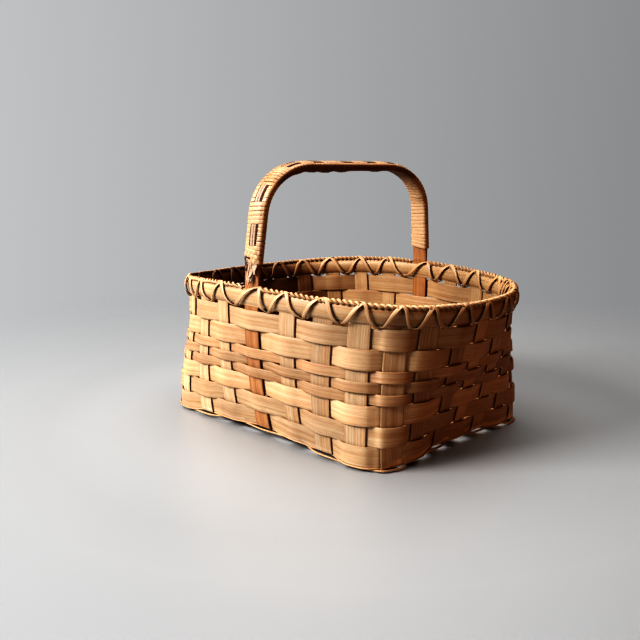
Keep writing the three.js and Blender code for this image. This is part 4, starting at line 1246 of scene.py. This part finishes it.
def overlay_skin(place, breadth, scallop, seed):
    """A flat strip along the handle's outer face, over some turns and beneath the next ones, whose
    edge is nicked by each turn, as |sin|, where scallop is above 0."""
    start, end = wrap_ends()
    distance = np.linspace(start + OVERLAY_INSET[0], end - OVERLAY_INSET[1], OVERLAY_SAMPLES)
    top = smooth(strip_on_top(distance)[:, None], OVERLAY_ROUNDING, False)[:, 0]
    half = OVERLAY_THICKNESS / 2
    low = HANDLE_THICKNESS / 2 + OVERLAY_LOW + half
    high = HANDLE_THICKNESS / 2 + OVERLAY_HIGH + CANE_THICKNESS * OVER_CANE + half - NICK_SINK * scallop
    across = place + drift(seed, len(distance), OVERLAY_SWAY)
    nicks = scallop * np.abs(np.sin(np.pi * (distance - start) / size_of("wrap_pitch") + NICK_START))
    points, _, facing = arch_at(distance, across - nicks / 2, low + (high - low) * top)
    wide = breadth - nicks + drift(seed + 1, len(distance), OVERLAY_GIRTH)
    return path_strip(points, facing, wide, half, half, OVERLAY_SECTION)


# Ends of split cane that hang over the bare wood at the -X leg's foot: across the face at the top and
# at the tip, heights of the top and of the tip, width at the top, and how far the tip stands off.
TAILS = np.array([
    (-4.4, -5.2, 169.0, 160.5, 2.6, 0.6),
    (-1.6, -3.0, 168.5, 148.5, 3.4, 1.4),
    (0.6, 0.2, 168.0, 145.8, 2.6, 3.0),
    (2.2, 3.4, 168.0, 149.0, 3.2, 1.9),
    (4.4, 2.6, 168.0, 152.0, 2.6, 3.4),
    (5.6, 7.0, 167.5, 155.0, 3.0, 1.2),
    (7.4, 7.8, 166.5, 158.0, 2.2, 2.2),
])
# A dark sheet at the wrapping's foot, in the same dark colour, given in the same way.
DARK_PATCH = (-5.6, -6.4, 170.5, 158.0, 4.2, 0.2)
# How far a tail's root stands off the strap, and its depth in front of and behind its middle.
TAIL_SEAT = 0.75
TAIL_DEPTH = 0.4
# How much a tail's tip wavers, over how much of a wave, and how far each tail's wave is moved on.
TAIL_WAVER, TAIL_WAVE, TAIL_SHIFT = 0.6, 0.9, 0.17
# A tail's root swells round this share of its length, over this breadth, and by this height.
ROOT_PLACE, ROOT_BREADTH, ROOT_SWELL = 0.12, 0.1, 0.5
# A tail twists to and fro by this share, at this many radians along its length.
TAIL_TWIST, TAIL_TURNING = 0.4, 5
TAIL_SAMPLES = 46
# As much of the arch's end as the tails can lie on.
LEG_SAMPLES = 80


def tail_skin(top_across, tip_across, top, tip, width, lift, seed):
    """A sliver of cane whose width falls as sqrt(1 - t^7) from its top to its ragged tip, which stands
    off the wood by a share t^2 of its lift and wavers to one side."""
    t = np.linspace(0, 0.995, TAIL_SAMPLES)
    heights, lengths = ARCH[::-1, 2][:LEG_SAMPLES], ARCH_LENGTH[::-1][:LEG_SAMPLES]
    distance = np.interp(top + (tip - top) * t, heights, lengths)
    waver = TAIL_WAVER * np.sin(2 * np.pi * (t * TAIL_WAVE + TAIL_SHIFT * seed)) * t
    across = top_across + (tip_across - top_across) * t + waver
    out = HANDLE_THICKNESS / 2 + TAIL_SEAT + lift * t ** 2 + ROOT_SWELL * bell(t, ROOT_PLACE, ROOT_BREADTH)
    points, side, facing = arch_at(distance, across, out)
    outs = facing + side * TAIL_TWIST * np.sin(TAIL_TURNING * t + seed)[:, None]
    width = width * np.sqrt(1 - t ** 7)
    return path_strip(points, outs, width, TAIL_DEPTH, TAIL_DEPTH, TAIL_SECTION, across=5)


class BASKET_OT_handle(bpy.types.Operator):
    """Bend the handle's hoop, wrap it in cane and weave the flat strip along it"""
    bl_idname = "basket.handle"
    bl_label = "Handle"

    def execute(self, context):
        wood, cane, flat, dark = map(
            wood_material, ("Handle wood", "Handle cane", "Overlay cane", "Overlay painted shade"))
        overlay = overlay_skin(OVERLAY_ACROSS, size_of("overlay_width"), 0.0, 711)
        sliver = overlay_skin(SLIVER_ACROSS, SLIVER_WIDTH, 1.0, 715)
        add_piece("bent_handle_hoop", hoop_skin(), True, 0.5, wood, "handle_wood", "handle_hoop")
        add_piece("cane_handle_wrap", wrap_skin(), False, 0.6, cane, "handle_cane", "handle_wrap")
        add_piece("cane_handle_overlay", overlay, False, 0.5, flat, "overlay_cane", "handle_overlay")
        # The dark material paints shade into the channel beside the flat strip, and the two lines paint it
        # into a gap and a crack.
        add_piece("cane_overlay_painted_shade", sliver, False, 0.5, dark, "overlay_cane")
        for name, *line in OVERLAY_LINES:
            add_piece(name, overlay_skin(*line, 719), False, 0.5, dark, "overlay_cane")
        add_piece("cane_dark_patch", tail_skin(*DARK_PATCH, 8), False, 0.9, dark, "handle_cane")
        for number, tail in enumerate(TAILS, 1):
            add_piece(f"cane_split_tail_{number}", tail_skin(*tail, number), False, 0.3 + 0.1 * number, flat,
                      "handle_cane")
        return {"FINISHED"}


# The camera as fitted to the photo: degrees, millimetres, and pixels of its 640.
CAMERA_AZIMUTH = -45.83
CAMERA_ELEVATION = 11.89
CAMERA_ROLL = 0.37
CAMERA_DISTANCE = 862.3
CAMERA_FOCUS_PX = 841.8
AIM_PX = (343.6, 353.8)
AIM_HEIGHT = 60.0
FRAME_PX = 640.0
SENSOR = 36.0
# Floor: radius and roughness, where it begins to melt into the backdrop and is gone, and how much paler
# it is painted round the basket, as painted light, inside the first distance and not at all past the second,
# in metres.
FLOOR_RADIUS = 4
FLOOR_ROUGHNESS = 0.4
FLOOR_FADE = (0.36, 0.8)
PAINTED_LIGHT_PATCH = (0.17, 0.3)
PAINTED_LIGHT_GAIN = 1.12
# The backdrop's lit side and its side in painted shade, as a direction and the turn towards it where each
# begins.
BACKDROP_WAY = (0.7, -0.7, 0.0)
BACKDROP_BLEND = (-0.35, 0.35)
# Lights: place, target, size, power in watts and colour. The fill is the world's own light.
LIGHTS = {
    "window": ((-1.55, 0.76, 1.15), (0, 0, 0.08), (1.0, 0.8), 49.0, (0.985, 0.99, 1.0)),
    "ceiling": ((0.2, 0.4, 2.0), (0, 0.1, 0), (2.6, 2.2), 52.0, (1.0, 1.0, 1.0)),
    "reflector": ((0.3, -1.6, 0.2), (0, 0, 0.06), (1.4, 0.5), 4.2, (1.0, 0.6, 0.36)),
}
FILL_COLOUR = (1.0, 0.82, 0.68, 1.0)
FILL_STRENGTH = 0.015
EXPOSURE = 0.12
GAMMA = 0.8


def set_pose(item, axes, place):
    """Turns an object's own X, Y and Z to the given axes, and puts it in its place."""
    item.matrix_world = Matrix([*np.column_stack([*axes, place]).tolist(), [0.0, 0.0, 0.0, 1.0]])


def add_camera():
    """The camera looks at the aim point from its azimuth and elevation, rolled about its own axis, and
    is then moved sideways so that the aim point falls on its pixel."""
    azimuth, elevation, roll = np.radians([CAMERA_AZIMUTH, CAMERA_ELEVATION, CAMERA_ROLL])
    level = np.cos(elevation)
    back = np.array([np.sin(azimuth) * level, -np.cos(azimuth) * level, np.sin(elevation)])
    right = np.array([np.cos(azimuth), np.sin(azimuth), 0.0])
    up = np.cross(back, right)
    cos, sin = np.cos(roll), np.sin(roll)
    axes = np.array([cos * right + sin * up, cos * up - sin * right, back])
    x, y = [(pixel - FRAME_PX / 2) / CAMERA_FOCUS_PX * CAMERA_DISTANCE for pixel in AIM_PX]
    spot = np.array([0, 0, AIM_HEIGHT]) - axes.T @ np.array([x, -y, -CAMERA_DISTANCE])
    data = bpy.data.cameras.new("photo_view")
    data.sensor_width = SENSOR
    data.lens = CAMERA_FOCUS_PX * SENSOR / FRAME_PX
    camera = linked("photo_view", data)
    set_pose(camera, axes, spot / MM)
    bpy.context.scene.camera = camera


def area_light(name, place, target, size, power, colour):
    """A soft rectangular light that faces its target."""
    data = bpy.data.lights.new(name, "AREA")
    data.shape = "RECTANGLE"
    data.size, data.size_y = size
    data.energy = power
    data.color = colour
    aim = unit(np.array(target) - np.array(place))
    side = unit(np.cross(aim, UP))
    set_pose(linked(name, data), (side, np.cross(side, aim), -aim), place)


def add_floor():
    """A wide disc with painted light round the basket, whose surface turns clear far out, over the backdrop.
    """
    angle = np.linspace(0, 2 * np.pi, 97)[:-1]
    ring = np.stack([FLOOR_RADIUS * np.cos(angle), FLOOR_RADIUS * np.sin(angle), 0 * angle], -1)
    mesh = bpy.data.meshes.new("floor")
    mesh.from_pydata(ring.tolist(), [], [list(range(len(ring)))])
    material, graph, shader = new_material("Floor")
    light, dark = colours("floor")
    place = graph.add("ShaderNodeTexCoord").outputs["Object"]
    distance = graph.add("ShaderNodeVectorMath", {0: place}, operation="LENGTH").outputs["Value"]
    tone = graph.mix(graph.ramp(graph.noise(place, 3.0, 2.0), 0.3, 0.7, 0.0, 0.12), light, dark)
    # Painted light: the floor is paler round the basket, where the basket's shade falls on it.
    tone = graph.mix(graph.ramp(distance, *PAINTED_LIGHT_PATCH, 1.0, 0.0), tone, [c * PAINTED_LIGHT_GAIN for c in light])
    graph.put(shader, {"Base Color": tone, "Roughness": FLOOR_ROUGHNESS})
    clear = graph.add("ShaderNodeBsdfTransparent")
    blend = graph.add("ShaderNodeMixShader", {
        0: graph.ramp(distance, *FLOOR_FADE), 1: shader.outputs["BSDF"], 2: clear.outputs["BSDF"]})
    graph.put(graph.tree.nodes["Material Output"], {"Surface": blend.outputs["Shader"]})
    mesh.materials.append(material)
    linked("floor", mesh)


def set_world():
    """The camera sees a backdrop that goes from light to dark grey, painted light and shade. The rest is lit
    by a warm fill.
    """
    scene = bpy.context.scene
    scene.world = scene.world or bpy.data.worlds.new("Studio")
    graph = Graph(scene.world)
    shown = graph.tree.nodes["Background"]
    heading = graph.add("ShaderNodeTexCoord").outputs["Generated"]
    across = graph.add("ShaderNodeVectorMath", {0: heading, 1: BACKDROP_WAY}, operation="DOT_PRODUCT")
    share = graph.ramp(across.outputs["Value"], *BACKDROP_BLEND)
    graph.put(shown, {"Color": graph.mix(share, *colours("backdrop"))})
    fill = graph.add("ShaderNodeBackground", {"Color": FILL_COLOUR, "Strength": FILL_STRENGTH})
    seen = graph.add("ShaderNodeLightPath").outputs["Is Camera Ray"]
    blend = graph.add("ShaderNodeMixShader", {0: seen, 1: fill.outputs[0], 2: shown.outputs[0]})
    graph.put(graph.tree.nodes["World Output"], {"Surface": blend.outputs[0]})


class BASKET_OT_stage(bpy.types.Operator):
    """Set the pale floor, the soft light and the camera"""
    bl_idname = "basket.stage"
    bl_label = "Floor, light and camera"

    def execute(self, context):
        add_floor()
        set_world()
        for name, settings in LIGHTS.items():
            area_light(name, *settings)
        add_camera()
        view = context.scene.view_settings
        view.view_transform = "Standard"
        view.look = "Very High Contrast"
        view.gamma = GAMMA
        view.exposure = EXPOSURE
        return {"FINISHED"}


class BASKET_PT_panel(bpy.types.Panel):
    """Lists the basket's parts and their settings"""
    bl_label = "Splint basket"
    bl_idname = "BASKET_PT_panel"
    bl_space_type = "VIEW_3D"
    bl_region_type = "UI"
    bl_category = "Basket"

    def draw(self, context):
        for operator in OPERATORS:
            self.layout.operator(operator.bl_idname)
        for group in (context.scene.basket_sizes, context.scene.basket_colours):
            box = self.layout.box()
            for name in group.__annotations__:
                box.prop(group, name)


OPERATORS = (
    BASKET_OT_stage, BASKET_OT_splints, BASKET_OT_weavers, BASKET_OT_rims, BASKET_OT_filler,
    BASKET_OT_lashing, BASKET_OT_handle)
CLASSES = (BasketSizes, BasketColours, *OPERATORS, BASKET_PT_panel)


def register():
    for item in CLASSES:
        bpy.utils.register_class(item)
    bpy.types.Scene.basket_sizes = bpy.props.PointerProperty(type=BasketSizes)
    bpy.types.Scene.basket_colours = bpy.props.PointerProperty(type=BasketColours)


def unregister():
    del bpy.types.Scene.basket_colours
    del bpy.types.Scene.basket_sizes
    for item in reversed(CLASSES):
        bpy.utils.unregister_class(item)


def main():
    register()
    bpy.ops.basket.stage()
    bpy.ops.basket.splints()
    bpy.ops.basket.weavers()
    bpy.ops.basket.rims()
    bpy.ops.basket.filler()
    bpy.ops.basket.lashing()
    bpy.ops.basket.handle()


if __name__ == "__main__":
    main()
